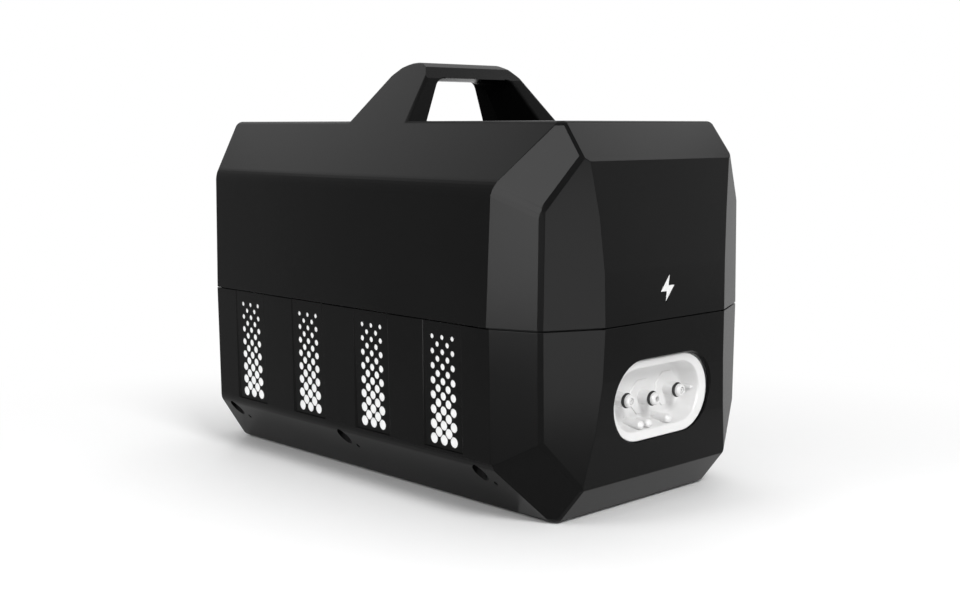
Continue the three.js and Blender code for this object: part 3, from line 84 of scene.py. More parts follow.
camera_data = bpy.data.cameras.new("camera")
camera_data.lens = LENS
camera_data.sensor_width = FILM_WIDTH
camera = linked("camera", camera_data)
camera.location = CAMERA_PLACE
camera.rotation_euler = CAMERA_LOOK.to_track_quat("-Z", "Y").to_euler()
scene.camera = camera
tilt = math.degrees(math.asin(-CAMERA_LOOK.normalized().z))
print("camera looks down by", round(tilt, 1), "degrees")

# %% [markdown]
# # Node helpers
# Materials and Geometry Nodes trees are both wired by hand below. A node is one call, which also says what
# feeds each of its inputs, so a tree reads from top to bottom like a recipe.

# %% Node helpers


def feed(tree, node, inputs):
    """Feeds a node's inputs, by name or number, from a socket, a list of sockets or a plain value."""
    for key, value in inputs.items():
        for source in value if isinstance(value, list) else [value]:
            if isinstance(source, bpy.types.NodeSocket):
                tree.links.new(source, node.inputs[key])
            else:
                node.inputs[key].default_value = source


def add_node(tree, kind, inputs=(), **settings):
    """A new node with its settings, and what feeds its inputs."""
    node = tree.nodes.new(kind)
    for name, value in settings.items():
        setattr(node, name, value)
    feed(tree, node, dict(inputs))
    return node


def calc(tree, operation, *values):
    """One step of arithmetic, on sockets or numbers."""
    return add_node(tree, "ShaderNodeMath", enumerate(values), operation=operation).outputs[0]


def vector(tree, *values):
    """A vector from sockets or numbers."""
    return add_node(tree, "ShaderNodeCombineXYZ", enumerate(values)).outputs[0]


def new_material(name):
    """An empty material: its tree, its Principled shader and the object's own coordinates."""
    material = bpy.data.materials.new(name)
    material.use_nodes = True
    tree = material.node_tree
    place = add_node(tree, "ShaderNodeTexCoord").outputs["Object"]
    return material, tree, tree.nodes["Principled BSDF"], place


# %% [markdown]
# # White studio
# Product photographs like this one are taken in a white cove. The background must be white to the camera,
# but white walls all round would also light the black plastic grey. So the world shows its white only to
# the camera, to reflections and through glass, and it lights the object at a plainer level.

# %% World
WORLD_LIGHT = 0.46
WHITE = (1, 1, 1, 1)

world = bpy.data.worlds.new("studio")
scene.world = world
world.use_nodes = True
sky = world.node_tree


def seen_directly(tree):
    """One where a ray comes from the camera, a reflection or a refraction, and zero for lighting."""
    path = add_node(tree, "ShaderNodeLightPath").outputs
    in_view = calc(tree, "MAXIMUM", path["Is Camera Ray"], path["Is Glossy Ray"])
    return calc(tree, "MAXIMUM", in_view, path["Is Transmission Ray"])


shown = sky.nodes["Background"]
feed(sky, shown, {"Color": WHITE, "Strength": 1})
lighting = add_node(sky, "ShaderNodeBackground", {"Color": WHITE, "Strength": WORLD_LIGHT})
choices = {0: seen_directly(sky), 1: lighting.outputs[0], 2: shown.outputs[0]}
choice = add_node(sky, "ShaderNodeMixShader", choices)
feed(sky, sky.nodes["World Output"], {"Surface": choice.outputs[0]})
print("the world lights at", WORLD_LIGHT, "and shows as 1")

# %% [markdown]
# # Floor
# The floor is one large sheet. Near the machine it is plain matt paper, which takes the soft contact shadow.
# Further out it turns by degrees into the white of the background, so no horizon shows.

# %% Floor
FLOOR_HALF = 12.0
PAPER_MIDDLE = (0.22, -0.20, 0)
PAPER_NEAR = 0.40
PAPER_FAR = 0.76
PAPER_FIBRE = 60
PAPER_TONES = (0.955, 0.965)

floor_mesh = bpy.data.meshes.new("floor")
floor_signs = ((-1, -1), (1, -1), (1, 1), (-1, 1))
floor_mesh.from_pydata([(x * FLOOR_HALF, y * FLOOR_HALF, 0) for x, y in floor_signs], [], [(0, 1, 2, 3)])
floor = linked("floor", floor_mesh)

paper, tree, shader, place = new_material("floor_paper")
fibre = add_node(tree, "ShaderNodeTexNoise", {"Vector": place, "Scale": PAPER_FIBRE}).outputs["Fac"]
tone_range = {"Value": fibre, "To Min": PAPER_TONES[0], "To Max": PAPER_TONES[1]}
tint = add_node(tree, "ShaderNodeMapRange", tone_range)
feed(tree, shader, {"Base Color": tint.outputs["Result"], "Roughness": 0.9, "Specular IOR Level": 0.1})
distance = add_node(tree, "ShaderNodeVectorMath", {0: place, 1: PAPER_MIDDLE}, operation="DISTANCE")
fade_range = {"Value": distance.outputs["Value"], "From Min": PAPER_NEAR, "From Max": PAPER_FAR}
fade = add_node(tree, "ShaderNodeMapRange", fade_range, interpolation_type="SMOOTHSTEP")
glow = add_node(tree, "ShaderNodeEmission", {"Color": WHITE, "Strength": 1})
gate = calc(tree, "MULTIPLY", fade.outputs["Result"], seen_directly(tree))
blend = add_node(tree, "ShaderNodeMixShader", {0: gate, 1: shader.outputs["BSDF"], 2: glow.outputs[0]})
feed(tree, tree.nodes["Material Output"], {"Surface": blend.outputs[0]})
floor_mesh.materials.append(paper)
print("the paper fades to white from", PAPER_NEAR, "to", PAPER_FAR, "metres")

# %% [markdown]
# # Lamps
# Black plastic is seen by what it reflects. Each facet of the case mirrors one direction, and a sheet of
# light stands there if the facet is light in the photograph. The sheets only show in reflections. Three
# plain softboxes light the rest, and they don't show in reflections.

# %% Lamps
MIDDLE = Vector((0, 0, 0.14))


def area_lamp(name, place, width, height, radiance, aim=MIDDLE, lean=0, mirrored=True):
    """A rectangular lamp that faces a point, unseen by the camera. The lean turns it in its own plane."""
    data = bpy.data.lights.new(name, "AREA")
    data.shape = "RECTANGLE"
    data.size = width
    data.size_y = height
    data.energy = radiance * math.pi * width * height
    lamp = linked(name, data)
    lamp.location = place
    backwards = (lamp.location - Vector(aim)).to_track_quat("Z", "Y")
    lamp.rotation_euler = (backwards @ Quaternion((0, 0, 1), math.radians(lean))).to_euler()
    lamp.visible_camera = False
    lamp.visible_glossy = mirrored
    lamp.visible_diffuse = not mirrored


area_lamp("side_sheet", (0.335, -0.90, 0.51), 0.42, 1.45, 19, lean=-16)
area_lamp("lens_sheet", (0.50, -0.10, 0.125), 0.20, 0.24, 7)
area_lamp("fold_sheet", (0.92, -0.92, 0.14), 0.5, 0.5, 2.5)
area_lamp("front_sheet", (1.12, 1.14, 0.24), 0.9, 0.6, 0.7)
area_lamp("chamfer_sheet", (-1.12, -0.24, 1.22), 0.8, 0.65, 1.3)
area_lamp("rim_sheet", (0.41, 1.10, 1.23), 0.6, 0.5, 3.6)
area_lamp("floor_sheet", (0.36, 0.03, 0.003), 0.42, 0.34, 0.36, aim=(0.36, 0.03, 1))
area_lamp("overhead", (-0.56, 0.56, 1.75), 1.4, 1.4, 1.62, mirrored=False)
area_lamp("end_fill", (1.35, -0.45, 1.15), 0.6, 0.6, 16, mirrored=False)
area_lamp("side_fill", (-0.47, -1.55, 0.92), 0.8, 0.8, 4.2, mirrored=False)

# %% [markdown]
# # Shared surface effects
# Two effects come back in most finishes, so each is a node group with its own dials.
# Spark-eroded grain is the fine matt texture of a mould, which prints itself on plastic.
# Handling is the slow change of tone and gloss where hands and cloths have been.

# %% Effect groups


def effect_group(name, dials, results):
    """An empty node group: dials are names with their usual values, and results are names of floats."""
    group = bpy.data.node_groups.new(name, "ShaderNodeTree")
    group.interface.new_socket("Vector", in_out="INPUT", socket_type="NodeSocketVector")
    for label, value in dials.items():
        socket = group.interface.new_socket(label, in_out="INPUT", socket_type="NodeSocketFloat")
        socket.default_value = value
    for label in results:
        group.interface.new_socket(label, in_out="OUTPUT", socket_type="NodeSocketFloat")
    return group, add_node(group, "NodeGroupInput").outputs, add_node(group, "NodeGroupOutput")


grain, dials, result = effect_group("moulded_grain", {"Scale": 1800, "Coarseness": 0.35}, ["Height"])
pattern = {"Vector": dials["Vector"], "Scale": dials["Scale"]}
fine = add_node(grain, "ShaderNodeTexNoise", {**pattern, "Detail": 3, "Roughness": 0.6})
pits = add_node(grain, "ShaderNodeTexVoronoi", pattern)
weighed = calc(grain, "MULTIPLY", pits.outputs["Distance"], dials["Coarseness"])
feed(grain, result, {"Height": calc(grain, "ADD", fine.outputs["Fac"], weighed)})

usual = {"Scale": 14, "Middle": 0.4, "Spread": 0.05}
handling, dials, result = effect_group("handling", usual, ["Value", "Mask"])
pattern = {"Vector": dials["Vector"], "Scale": dials["Scale"]}
clouds = add_node(handling, "ShaderNodeTexNoise", {**pattern, "Detail": 4, "Roughness": 0.55})
mask = clouds.outputs["Fac"]
drift = calc(handling, "MULTIPLY", calc(handling, "SUBTRACT", mask, 0.5), dials["Spread"])
feed(handling, result, {"Value": calc(handling, "ADD", drift, dials["Middle"]), "Mask": mask})
print("effect groups:", [g.name for g in bpy.data.node_groups])

# %% [markdown]
# # Finishes
# One recipe serves every moulded, cast or painted surface: a colour that drifts a little between two tones,
# a gloss that drifts with it, and a grain that bumps the light. The dials differ, and so does the metal.

# %% Finish recipe
TONE_STOPS = (0.3, 0.7)


def finish(name, tones, roughness, spread=0.06, scale=1800, depth=0.02, **settings):
    """A finish between two tones. The grain's scale is per metre and its depth is in millimetres."""
    material, tree, shader, place = new_material(name)
    dials = {"Vector": place, "Middle": roughness, "Spread": spread}
    touched = add_node(tree, "ShaderNodeGroup", dials, node_tree=handling).outputs
    ramp = add_node(tree, "ShaderNodeValToRGB", {"Fac": touched["Mask"]})
    for stop, tone, where in zip(ramp.color_ramp.elements, tones, TONE_STOPS):
        stop.color = (*tone, 1)
        stop.position = where
    grainy = add_node(tree, "ShaderNodeGroup", {"Vector": place, "Scale": scale}, node_tree=grain)
    relief = {"Strength": 1, "Distance": depth * MM, "Height": grainy.outputs["Height"]}
    bump = add_node(tree, "ShaderNodeBump", relief).outputs["Normal"]
    feed(tree, shader, {label.replace("_", " "): value for label, value in settings.items()})
    feed(tree, shader, {"Base Color": ramp.outputs["Color"], "Roughness": touched["Value"], "Normal": bump})
    return material


def greys(dark, light, warmth=0.0):
    """Two linear greys, a little redder or bluer."""
    return [(value * (1 + warmth), value, value * (1 - warmth)) for value in (dark, light)]


# %% The machine's finishes, by slot
CASE_TONES = greys(0.0036, 0.0044)
BOARD_TONES = [(0.010, 0.075, 0.030), (0.016, 0.105, 0.045)]
CASE_INDEX = 1.126
NATURAL = greys(0.62, 0.70, -0.01)
DARK_GLASS = greys(0.0025, 0.0040, -0.1)
FINISHES = {
    "case_black": finish("case_black_plastic", CASE_TONES, 0.24, 0.04, 1500, 0.010, IOR=CASE_INDEX),
    "panel_black": finish(
        "panel_gloss_black", greys(0.0045, 0.0060), 0.14, 0.05, 90, 0.004, Specular_IOR_Level=0.45
    ),
    "fitting_white": finish("fitting_white_plastic", greys(0.68, 0.73, 0.003), 0.36, 0.08, 1100, 0.008),
    "felt_white": finish("filter_felt", greys(0.88, 0.94), 0.95, 0.03, 700, 0.12, Sheen_Weight=0.2),
    "rubber_black": finish("rubber", greys(0.012, 0.018), 0.7, 0.1, 900, 0.03, Specular_IOR_Level=0.3),
    "button_grey": finish("button_grey_plastic", greys(0.040, 0.050), 0.45, 0.05, 1400, 0.012),
    "tank_plastic": finish("tank_natural_plastic", NATURAL, 0.38, 0.1, 300, 0.02, Subsurface_Weight=0.15),
    "bright_steel": finish("bright_steel", greys(0.50, 0.60), 0.32, 0.15, 500, 0.01, Metallic=1.0),
    "aluminium": finish("aluminium", greys(0.55, 0.66, -0.01), 0.38, 0.15, 260, 0.02, Metallic=1.0),
    "ceramic": finish("ceramic", greys(0.74, 0.82, 0.02), 0.55, 0.08, 800, 0.01),
    "board_green": finish("solder_mask", BOARD_TONES, 0.3, 0.08, 350, 0.01),
    "hose_grey": finish("hose_silicone", greys(0.26, 0.32, -0.03), 0.5, 0.1, 500, 0.015),
    "display_glass": finish("display_glass", DARK_GLASS, 0.06, 0.02, 40, 0.001, Coat_Weight=0.6),
}
vent_black = finish("vent_black_plastic", CASE_TONES, 0.27, 0.04, 1500, 0.010, IOR=CASE_INDEX)
sign_ink = finish("sign_ink", greys(0.62, 0.70), 0.6, 0.05, 900, 0.004)
print(len(bpy.data.materials), "materials")

# %% [markdown]
# # Carried-over solids
# The pieces inside the case are right as the CAD made them. Each keeps its mesh, and the material it came
# with names its slot in the record, so it takes that slot's finish.

# %% Finish the CAD nodes
for name, node in nodes.items():
    slot = node.data.materials[0].name.split(".")[0]
    node.data.materials.clear()
    node.data.materials.append(FINISHES[slot])
print(len(nodes), "solids finished")

# %% [markdown]
# # Mesh helpers
# Every visible piece below is a closed mesh whose place is in its points. It rides on a body of the CAD
# model, so that it moves when that body's joint moves, and it usually stands for a CAD node, which is then
# hidden.

# %% Mesh helpers
WELD = 0.002
HULL_WELD = 0.01


def object_from(bm, name):
    """A linked object from a bmesh, which is used up."""
    mesh = bpy.data.meshes.new(name)
    bm.to_mesh(mesh)
    bm.free()
    return linked(name, mesh)


def plain_mesh(piece):
    """What a piece looks like with its modifiers or curve settings applied, as a mesh."""
    graph = bpy.context.evaluated_depsgraph_get()
    return bpy.data.meshes.new_from_object(piece.evaluated_get(graph))


def baked(piece):
    """Applies a piece's modifiers, and leaves it as a plain mesh."""
    mesh = plain_mesh(piece)
    old = piece.data
    piece.modifiers.clear()
    piece.data = mesh
    mesh.name = piece.name
    bpy.data.meshes.remove(old)
    return piece


@contextmanager
def editing(piece):
    """A piece's mesh as a bmesh, written back when the block ends."""
    bm = bmesh.new()
    bm.from_mesh(piece.data)
    yield bm
    bm.to_mesh(piece.data)
    bm.free()


def combine(piece, other, operation):
    """Cuts, joins or intersects a piece with another, which is used up."""
    step = piece.modifiers.new("combine", "BOOLEAN")
    step.operation = operation
    step.solver = "MANIFOLD"
    step.object = other
    baked(piece)
    bpy.data.objects.remove(other)


def merge_flats(bm, degrees):
    """Joins faces that lie in one plane, give or take some degrees."""
    bmesh.ops.dissolve_limit(bm, angle_limit=math.radians(degrees), verts=bm.verts, edges=bm.edges)


def hull_of(points, flat_degrees):
    """The convex bmesh round some points, with one face for each flat side."""
    bm = bmesh.new()
    for point in points:
        bm.verts.new(point)
    bmesh.ops.remove_doubles(bm, verts=bm.verts, dist=HULL_WELD * MM)
    bmesh.ops.convex_hull(bm, input=bm.verts, use_existing_faces=False)
    spare = [v for v in bm.verts if not v.link_faces]
    bmesh.ops.delete(bm, geom=spare, context="VERTS")
    merge_flats(bm, flat_degrees)
    bmesh.ops.recalc_face_normals(bm, faces=bm.faces)
    return bm


def hull_body(name, points, flat_degrees=0.5):
    """The convex body round some points."""
    return object_from(hull_of(points, flat_degrees), name)


def box_corners(xs, ys, zs):
    """The eight corners of a box."""
    return [at(x, y, z) for x in xs for y in ys for z in zs]


def loft(rings, name):
    """A closed body through rings of equally many points."""
    bm = bmesh.new()
    made = [[bm.verts.new(p) for p in ring] for ring in rings]
    count = len(made[0])
    for near, far in zip(made, made[1:]):
        for k in range(count):
            following = (k + 1) % count
            bm.faces.new((near[k], near[following], far[following], far[k]))
    bm.faces.new(made[0])
    bm.faces.new(made[-1])
    bmesh.ops.recalc_face_normals(bm, faces=bm.faces)
    return object_from(bm, name)


def copy_of_node(name, label):
    """A copy of a CAD node's mesh with its doubled points merged."""
    bm = bmesh.new()
    bm.from_mesh(nodes[name].data)
    bmesh.ops.remove_doubles(bm, verts=bm.verts, dist=WELD * MM)
    return object_from(bm, label)


# %% Edges and shading
LARGE_FLAT = 60.0
FLAT_FRAME = 0.25


def turn_between(edge):
    """The angle between the two faces of an edge, in degrees."""
    return math.degrees(edge.calc_face_angle(0))


def round_edges(piece, widths, segments):
    """Rounds a piece's edges. The widths are a function from an edge to the bevel's width in millimetres."""
    with editing(piece) as bm:
        layer = bm.edges.layers.float.new("bevel_weight_edge")
        chosen = {edge.index: widths(edge) for edge in bm.edges}
        widest = max(chosen.values())
        for edge in bm.edges:
            edge[layer] = chosen[edge.index] / widest
    step = piece.modifiers.new("round", "BEVEL")
    step.limit_method = "WEIGHT"
    step.width = widest * MM
    step.segments = segments
    step.use_clamp_overlap = True
    return baked(piece)


def softened(name, label, widths, segments):
    """A copy of a CAD node with each flat side made whole and its edges rounded."""
    piece = copy_of_node(name, label)
    with editing(piece) as bm:
        merge_flats(bm, 1)
    return round_edges(piece, widths, segments)


def frame_flats(piece):
    """Sets each large flat face in from its outline, so that a fillet's shading can't spread over it."""
    with editing(piece) as bm:
        large = [face for face in bm.faces if face.calc_area() > LARGE_FLAT * MM**2]
        bmesh.ops.inset_individual(bm, faces=large, thickness=FLAT_FRAME * MM, use_even_offset=True)


def smooth(piece, degrees):
    """Smooth shading that stays flat on flats and sharp at corners above some degrees."""
    for face in piece.data.polygons:
        face.use_smooth = True
    piece.data.set_sharp_from_angle(angle=math.radians(degrees))
    step = piece.modifiers.new("weigh", "WEIGHTED_NORMAL")
    step.keep_sharp = True
    return baked(piece)


def settle(piece, slot, *stands_for, body="machine", material=None):
    """Gives a finished piece its slot's finish or a given material, parents it to the body it rides on, and
    hides the CAD nodes it stands for.
    """
    piece.data.materials.clear()
    piece.data.materials.append(material or FINISHES[slot])
    for face in piece.data.polygons:
        face.material_index = 0
    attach(piece, body)
    if stands_for:
        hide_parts(*stands_for)
    print(piece.name, len(piece.data.polygons), "faces")


# %% [markdown]
# # Arcs and turned bodies
# Most round forms here are an arc, drawn flat and then lofted, turned on a lathe or filled. One helper gives
# the arc's points, and the lathe turns a profile of radius and height pairs about an axis.

# %% Arcs and lathe
LATHE_WELD = 0.0005
AXES = {
    "x": Matrix(((0, 0, 1), (1, 0, 0), (0, 1, 0))),
    "y": Matrix(((1, 0, 0), (0, 0, 1), (0, -1, 0))),
    "z": Matrix.Identity(3),
}


def arc(x, y, radius, start, end, steps):
    """Points along an arc about a middle, from one angle in degrees to another."""
    turns = [math.radians(start + (end - start) * k / steps) for k in range(steps + 1)]
    return [(x + radius * math.cos(turn), y + radius * math.sin(turn)) for turn in turns]


def circle(x, y, radius, sides=48, start=0.0):
    """Points round a circle."""
    return arc(x, y, radius, start, start + 360, sides)[:-1]


def turned_body(name, profile, middle, axis="z", sides=48):
    """A profile turned into a closed body about an axis. A profile that leaves the axis out makes a ring."""
    bm = bmesh.new()
    loops = []
    for radius, height in profile:
        points = circle(0, 0, radius, sides) if radius else [(0, 0)]
        loops.append([bm.verts.new((x * MM, y * MM, height * MM)) for x, y in points])
    if len(loops[0]) > 1:
        loops.append(loops[0])
    for near, far in zip(loops, loops[1:]):
        for k in range(sides):
            following = (k + 1) % sides
            if len(near) == 1:
                bm.faces.new((near[0], far[k], far[following]))
            elif len(far) == 1:
                bm.faces.new((near[k], far[0], near[following]))
            else:
                bm.faces.new((near[k], far[k], far[following], near[following]))
    bmesh.ops.remove_doubles(bm, verts=bm.verts, dist=LATHE_WELD * MM)
    bm.transform(Matrix.Translation(at(*middle)) @ AXES[axis].to_4x4())
    bmesh.ops.recalc_face_normals(bm, faces=bm.faces)
    return object_from(bm, name)


def round_bar(name, axis, radius, low, high, middle, sides=32):
    """A round bar along x, y or z between two places, about a middle."""
    first, second, along = {"x": (1, 2, 0), "y": (2, 0, 1), "z": (0, 1, 2)}[axis]
    rings = []
    for end in (low, high):
        ring = [list(middle) for _ in range(sides)]
        for place, (across, up) in zip(ring, circle(middle[first], middle[second], radius, sides)):
            place[first], place[second], place[along] = across, up, end
        rings.append([at(*place) for place in ring])
    return loft(rings, name)


# %% [markdown]
# # The case shells
# The case is two injection-moulded shells. A mould is milled with round cutters, so every outer edge of the
# real case has a fillet: large along the shoulder, small at the facets. The CAD shells have sharp edges.
# Here each half becomes a set of planes: its own flat sides, and a few more that touch each fillet. The body
# inside all the planes is the rounded half, and the CAD shell is cut down to it. So the wall, bosses and lip
# inside stay as they are.

# %% Sizes of the case
SEAM = 132.0
SEAM_GAP = 0.8
TOP = 265.0
TRIM = 0.9998
UPPER_MIDDLE = 200.0
LOWER_MIDDLE = 66.0
FOLD_FILLET = 20.0
LOW_FOLD_FILLET = 14.0
CORNER_FILLET = 30.0
RIM_FILLET = 6.0
FACET_FILLET = 1.2
SEAM_FILLET = 0.4
FILLET_STEP = 7.0
SHORT_FOLD = 2.0
SAME_HEADING = math.radians(12)
LEVEL = 0.3

# %% Fillets as planes


def is_fold(edge):
    """True where a side face of the case leans over into a shoulder face with nearly the same heading."""
    first, second = (face.normal for face in edge.link_faces)
    leans = sorted(abs(normal.z) for normal in (first, second))
    sideways = min(abs(first.y), abs(second.y)) > 0.3
    if not sideways or first.xy.angle(second.xy) > SAME_HEADING:
        return False
    return leans[0] < 0.12 and 0.15 < leans[1] < 0.9


def case_radius(edge, fold, corner, rim, seam):
    """The fillet's radius on an edge of half the case, by where the edge lies."""
    heights = [v.co.z / MM - FOOT_PROUD for v in edge.verts]
    if turn_between(edge) < 4:
        return 0
    if max(abs(height - seam) for height in heights) < LEVEL:
        return SEAM_FILLET
    if is_fold(edge) and edge.calc_length() > SHORT_FOLD * MM:
        on_corner = min(abs(face.normal.x) for face in edge.link_faces) > 0.2
        return corner if on_corner else fold
    if is_fold(edge) or max(abs(height - rim) for height in heights) < LEVEL:
        return RIM_FILLET
    return FACET_FILLET


def fillet_planes(edge, radius):
    """The planes that touch a fillet of some radius along an edge of a convex body."""
    first, second = (face.normal for face in edge.link_faces)
    axis = edge.verts[0].co - (first + second) * radius / (1 + first.dot(second))
    steps = max(2, round(turn_between(edge) / FILLET_STEP))
    normals = [first.slerp(second, (k + 0.5) / steps) for k in range(steps)]
    return [(normal, axis + normal * radius) for normal in normals]


def inside_planes(planes, middle):
    """The corners of the convex body inside a set of planes.

    Each plane becomes a point, further from the middle the nearer the plane lies. Each face of the hull of
    these points then stands for one corner of the body."""
    poles = bmesh.new()
    for normal, place in planes:
        poles.verts.new(normal / (place - middle).dot(normal))
    bmesh.ops.convex_hull(poles, input=poles.verts)
    found = []
    for face in poles.faces:
        face.normal_update()
        distance = face.verts[0].co.dot(face.normal)
        if abs(distance) < 1:
            continue
        corner = middle + face.normal / distance
        if all((corner - place).dot(normal) < 0.02 * MM for normal, place in planes):
            found.append(corner)
    poles.free()
    return found


def trimmed(points, middle):
    """The points drawn in by a hair, so that the body round them cuts cleanly."""
    return [middle + (point - middle) * TRIM for point in points]


def rounded_half(name, points, height, fold, corner, rim, seam):
    """The convex body of half the case with its edges rounded, about a middle at some height."""
    middle = at(0, 0, height)
    sharp = hull_of(trimmed(points, middle), 0.5)
    planes = [(face.normal.copy(), face.verts[0].co.copy()) for face in sharp.faces]
    for edge in sharp.edges:
        radius = case_radius(edge, fold, corner, rim, seam) * MM
        if radius > 0:
            planes += fillet_planes(edge, radius)
    half = hull_body(name, inside_planes(planes, middle), 0.2)
    frame_flats(half)
    return half


def points_between(piece, low, high):
    """The places of a piece's points between two heights."""
    places = [v.co.copy() for v in piece.data.vertices]
    return [place for place in places if low < place.z / MM - FOOT_PROUD < high]


# %% Upper body
upper_mesh = copy_of_node("upper_shell", "upper_case")
upper_points = points_between(upper_mesh, 0, TOP + 0.01)
upper_radii = (FOLD_FILLET, CORNER_FILLET, TOP, SEAM + SEAM_GAP / 2)
upper_round = rounded_half("upper_round", upper_points, UPPER_MIDDLE, *upper_radii)
print("upper body", len(upper_round.data.vertices), "points")

# %% [markdown]
# # The carry handle
# The handle is a hollow arch, moulded in one with the upper shell. Its flanks carry on the case's shoulders.
# It is made as a body of its own, rounded, with the window cut through it and the window's rim rounded too,
# and then joined to the rounded case before the CAD shell is cut down to both.

# %% Sizes of the handle
HANDLE_HALF = 33.0
HANDLE_ROOT = 20.0
HANDLE_MIDDLE = 15.0
CROWN_HALF = 19.5
CROWN_RISE = 38.5
PEAK_RISE = 43.8
CROWN_STEPS = 8
SLOPE_ROUNDING = 3.2
FLANK_ROUNDING = 2.2
LEAST_TURN = 12
LONG_EDGE = 60.0
SHOULDER_HALF = 79.5
SHOULDER_LOW = 222.6
SHOULDER_LOW_HALF = 117.5
SHOULDER_SLOPE = (SHOULDER_LOW_HALF - SHOULDER_HALF) / (TOP - SHOULDER_LOW)
WINDOW_TOP = 30.4
WINDOW_TOP_HALF = 35.5
WINDOW_BASE_HALF = 54.0
WINDOW_SLOPE = (WINDOW_BASE_HALF - WINDOW_TOP_HALF) / WINDOW_TOP
WINDOW_THROAT = 8.0
WINDOW_END = 45.0
WINDOW_FLARE = 5.0
WINDOW_SPARE = 0.12
WINDOW_CORNER = 12.0
WINDOW_ROUNDING = 2.0
STEEP = 0.9
RIM_RADIANS = 0.5
RIM_REACH = 36.0
RIM_RISE = 6.0

# %% Arch


def arch_body():
    """The handle's outer form, run down into the case. Its crown is a shallow arc between two slopes."""
    sag = PEAK_RISE - CROWN_RISE
    radius = (CROWN_HALF**2 + sag**2) / (2 * sag)
    reach = math.degrees(math.asin(CROWN_HALF / radius))
    root_half = HANDLE_HALF + HANDLE_ROOT * (HANDLE_HALF - CROWN_HALF) / CROWN_RISE
    profile = [(-root_half, -HANDLE_ROOT), (root_half, -HANDLE_ROOT)]
    profile += arc(0, PEAK_RISE - radius, radius, 90 + reach, 90 - reach, CROWN_STEPS)
    points = []
    for x, rise in profile:
        half = SHOULDER_HALF - rise * SHOULDER_SLOPE
        points += [at(x, side * half, TOP + rise) for side in (-1, 1)]
    return hull_body("arch", trimmed(points, at(0, 0, TOP + HANDLE_MIDDLE)), 0.4)


def arch_widths(edge):
    """The slopes are rounded into the crown, and the sides get a small fillet."""
    first, second = (v.co / MM for v in edge.verts)
    if turn_between(edge) < LEAST_TURN or max(first.z, second.z) < TOP:
        return 0
    across = abs(first.x - second.x) < 0.5 and abs(first.y - second.y) > LONG_EDGE
    return SLOPE_ROUNDING if across else FLANK_ROUNDING


arch = round_edges(arch_body(), arch_widths, 4)
print("arch", len(arch.data.vertices), "points")

# %% Window


def window_outline(x):
    """The window's outline at one station along the machine, with round upper corners."""
    past = max(0.0, abs(x) - WINDOW_THROAT)
    growth = WINDOW_SPARE + WINDOW_FLARE * past / (HANDLE_HALF - WINDOW_THROAT)
    top = WINDOW_TOP + growth / 2
    half = WINDOW_TOP_HALF + growth - WINDOW_SLOPE * growth / 2
    low = -HANDLE_ROOT - 5
    lean = math.atan(WINDOW_SLOPE)
    reach = WINDOW_CORNER * math.tan((math.pi / 2 - lean) / 2)
    corner = arc(half - reach, top - WINDOW_CORNER, WINDOW_CORNER, 90, math.degrees(lean), 8)
    corner.append((half + WINDOW_SLOPE * (top - low), low))
    left = [at(x, -y, TOP + z) for y, z in reversed(corner)]
    return left + [at(x, y, TOP + z) for y, z in corner]


def on_rim(edge):
    """True for an edge between the handle's leaning front or back and the window."""
    normals = [face.normal for face in edge.link_faces]
    beside = [normal for normal in normals if abs(normal.x) <= STEEP]
    if len(normals) != 2 or len(beside) != 1 or edge.calc_face_angle(0) < RIM_RADIANS:
        return False
    middle = (edge.verts[0].co + edge.verts[1].co) / 2 / MM
    inside = abs(middle.y) < WINDOW_TOP_HALF + RIM_REACH and middle.z < TOP + WINDOW_TOP + RIM_RISE
    return inside and beside[0].y * middle.y < 0.2 * abs(middle.y)


stations = (-WINDOW_END, -WINDOW_THROAT, WINDOW_THROAT, WINDOW_END)
combine(arch, loft([window_outline(x) for x in stations], "window"), "DIFFERENCE")
with editing(arch) as bm:
    merge_flats(bm, 0.3)
    rim_edges = [edge for edge in bm.edges if on_rim(edge)]
    print(len(rim_edges), "rim edges to round")
    bmesh.ops.bevel(
        bm, geom=rim_edges, offset=WINDOW_ROUNDING * MM, segments=4, profile=0.5, affect="EDGES",
        clamp_overlap=True,
    )

# %% Cut the upper shell down
combine(upper_round, arch, "UNION")
combine(upper_mesh, upper_round, "INTERSECT")
print("upper case", len(upper_mesh.data.polygons), "faces")

# %% [markdown]
# # The lower shell
# It is trimmed in the same way, but its lip stands up inside the upper shell, above the seam. So the rounded
# body it is cut down to gets a plain block for the lip first. Then the moulded details are cut again with
# finer tools: round screw pockets instead of twelve-sided ones, and a smooth oval for the hose socket.

# %% Sizes of the lower shell
SCREW_PLACES = (-146.0, -4.6, 141.5)
SCREW_Y = 110.0
POCKET_RADIUS = 5.55
POCKET_TOP = 112.0
DRAIN_RADIUS = 1.45
DRAIN_TOP = 60.0
DRAIN_OFFSET = 8.8
DRAIN_INSET = 5.8
CUT_LOW = -6.0
SOCKET_Z = 78.0
SOCKET_HALF = 52.0
SOCKET_HALF_HEIGHT = 28.0
SOCKET_MOUTH = ((187.0, 0.0), (206.9, 0.05), (209.4, 1.4), (213.0, 5.0))
LIP_BLOCK = (-20.0, 1.0)

# %% Rounded body with room for the lip
lower_mesh = copy_of_node("lower_shell", "lower_case")
low_seam = SEAM - SEAM_GAP / 2
lower_points = points_between(lower_mesh, -1, low_seam + 0.05)
lower_radii = (LOW_FOLD_FILLET, LOW_FOLD_FILLET, 0, low_seam)
lower_round = rounded_half("lower_round", lower_points, LOWER_MIDDLE, *lower_radii)
lip_points = points_between(lower_mesh, low_seam + 2, TOP)
lip_block = [point + Vector((0, 0, rise * MM)) for point in lip_points for rise in LIP_BLOCK]
combine(lower_round, hull_body("lip", lip_block), "UNION")
combine(lower_mesh, lower_round, "INTERSECT")
print("lower case", len(lower_mesh.data.polygons), "faces")

# %% Pockets, drains and the socket's oval


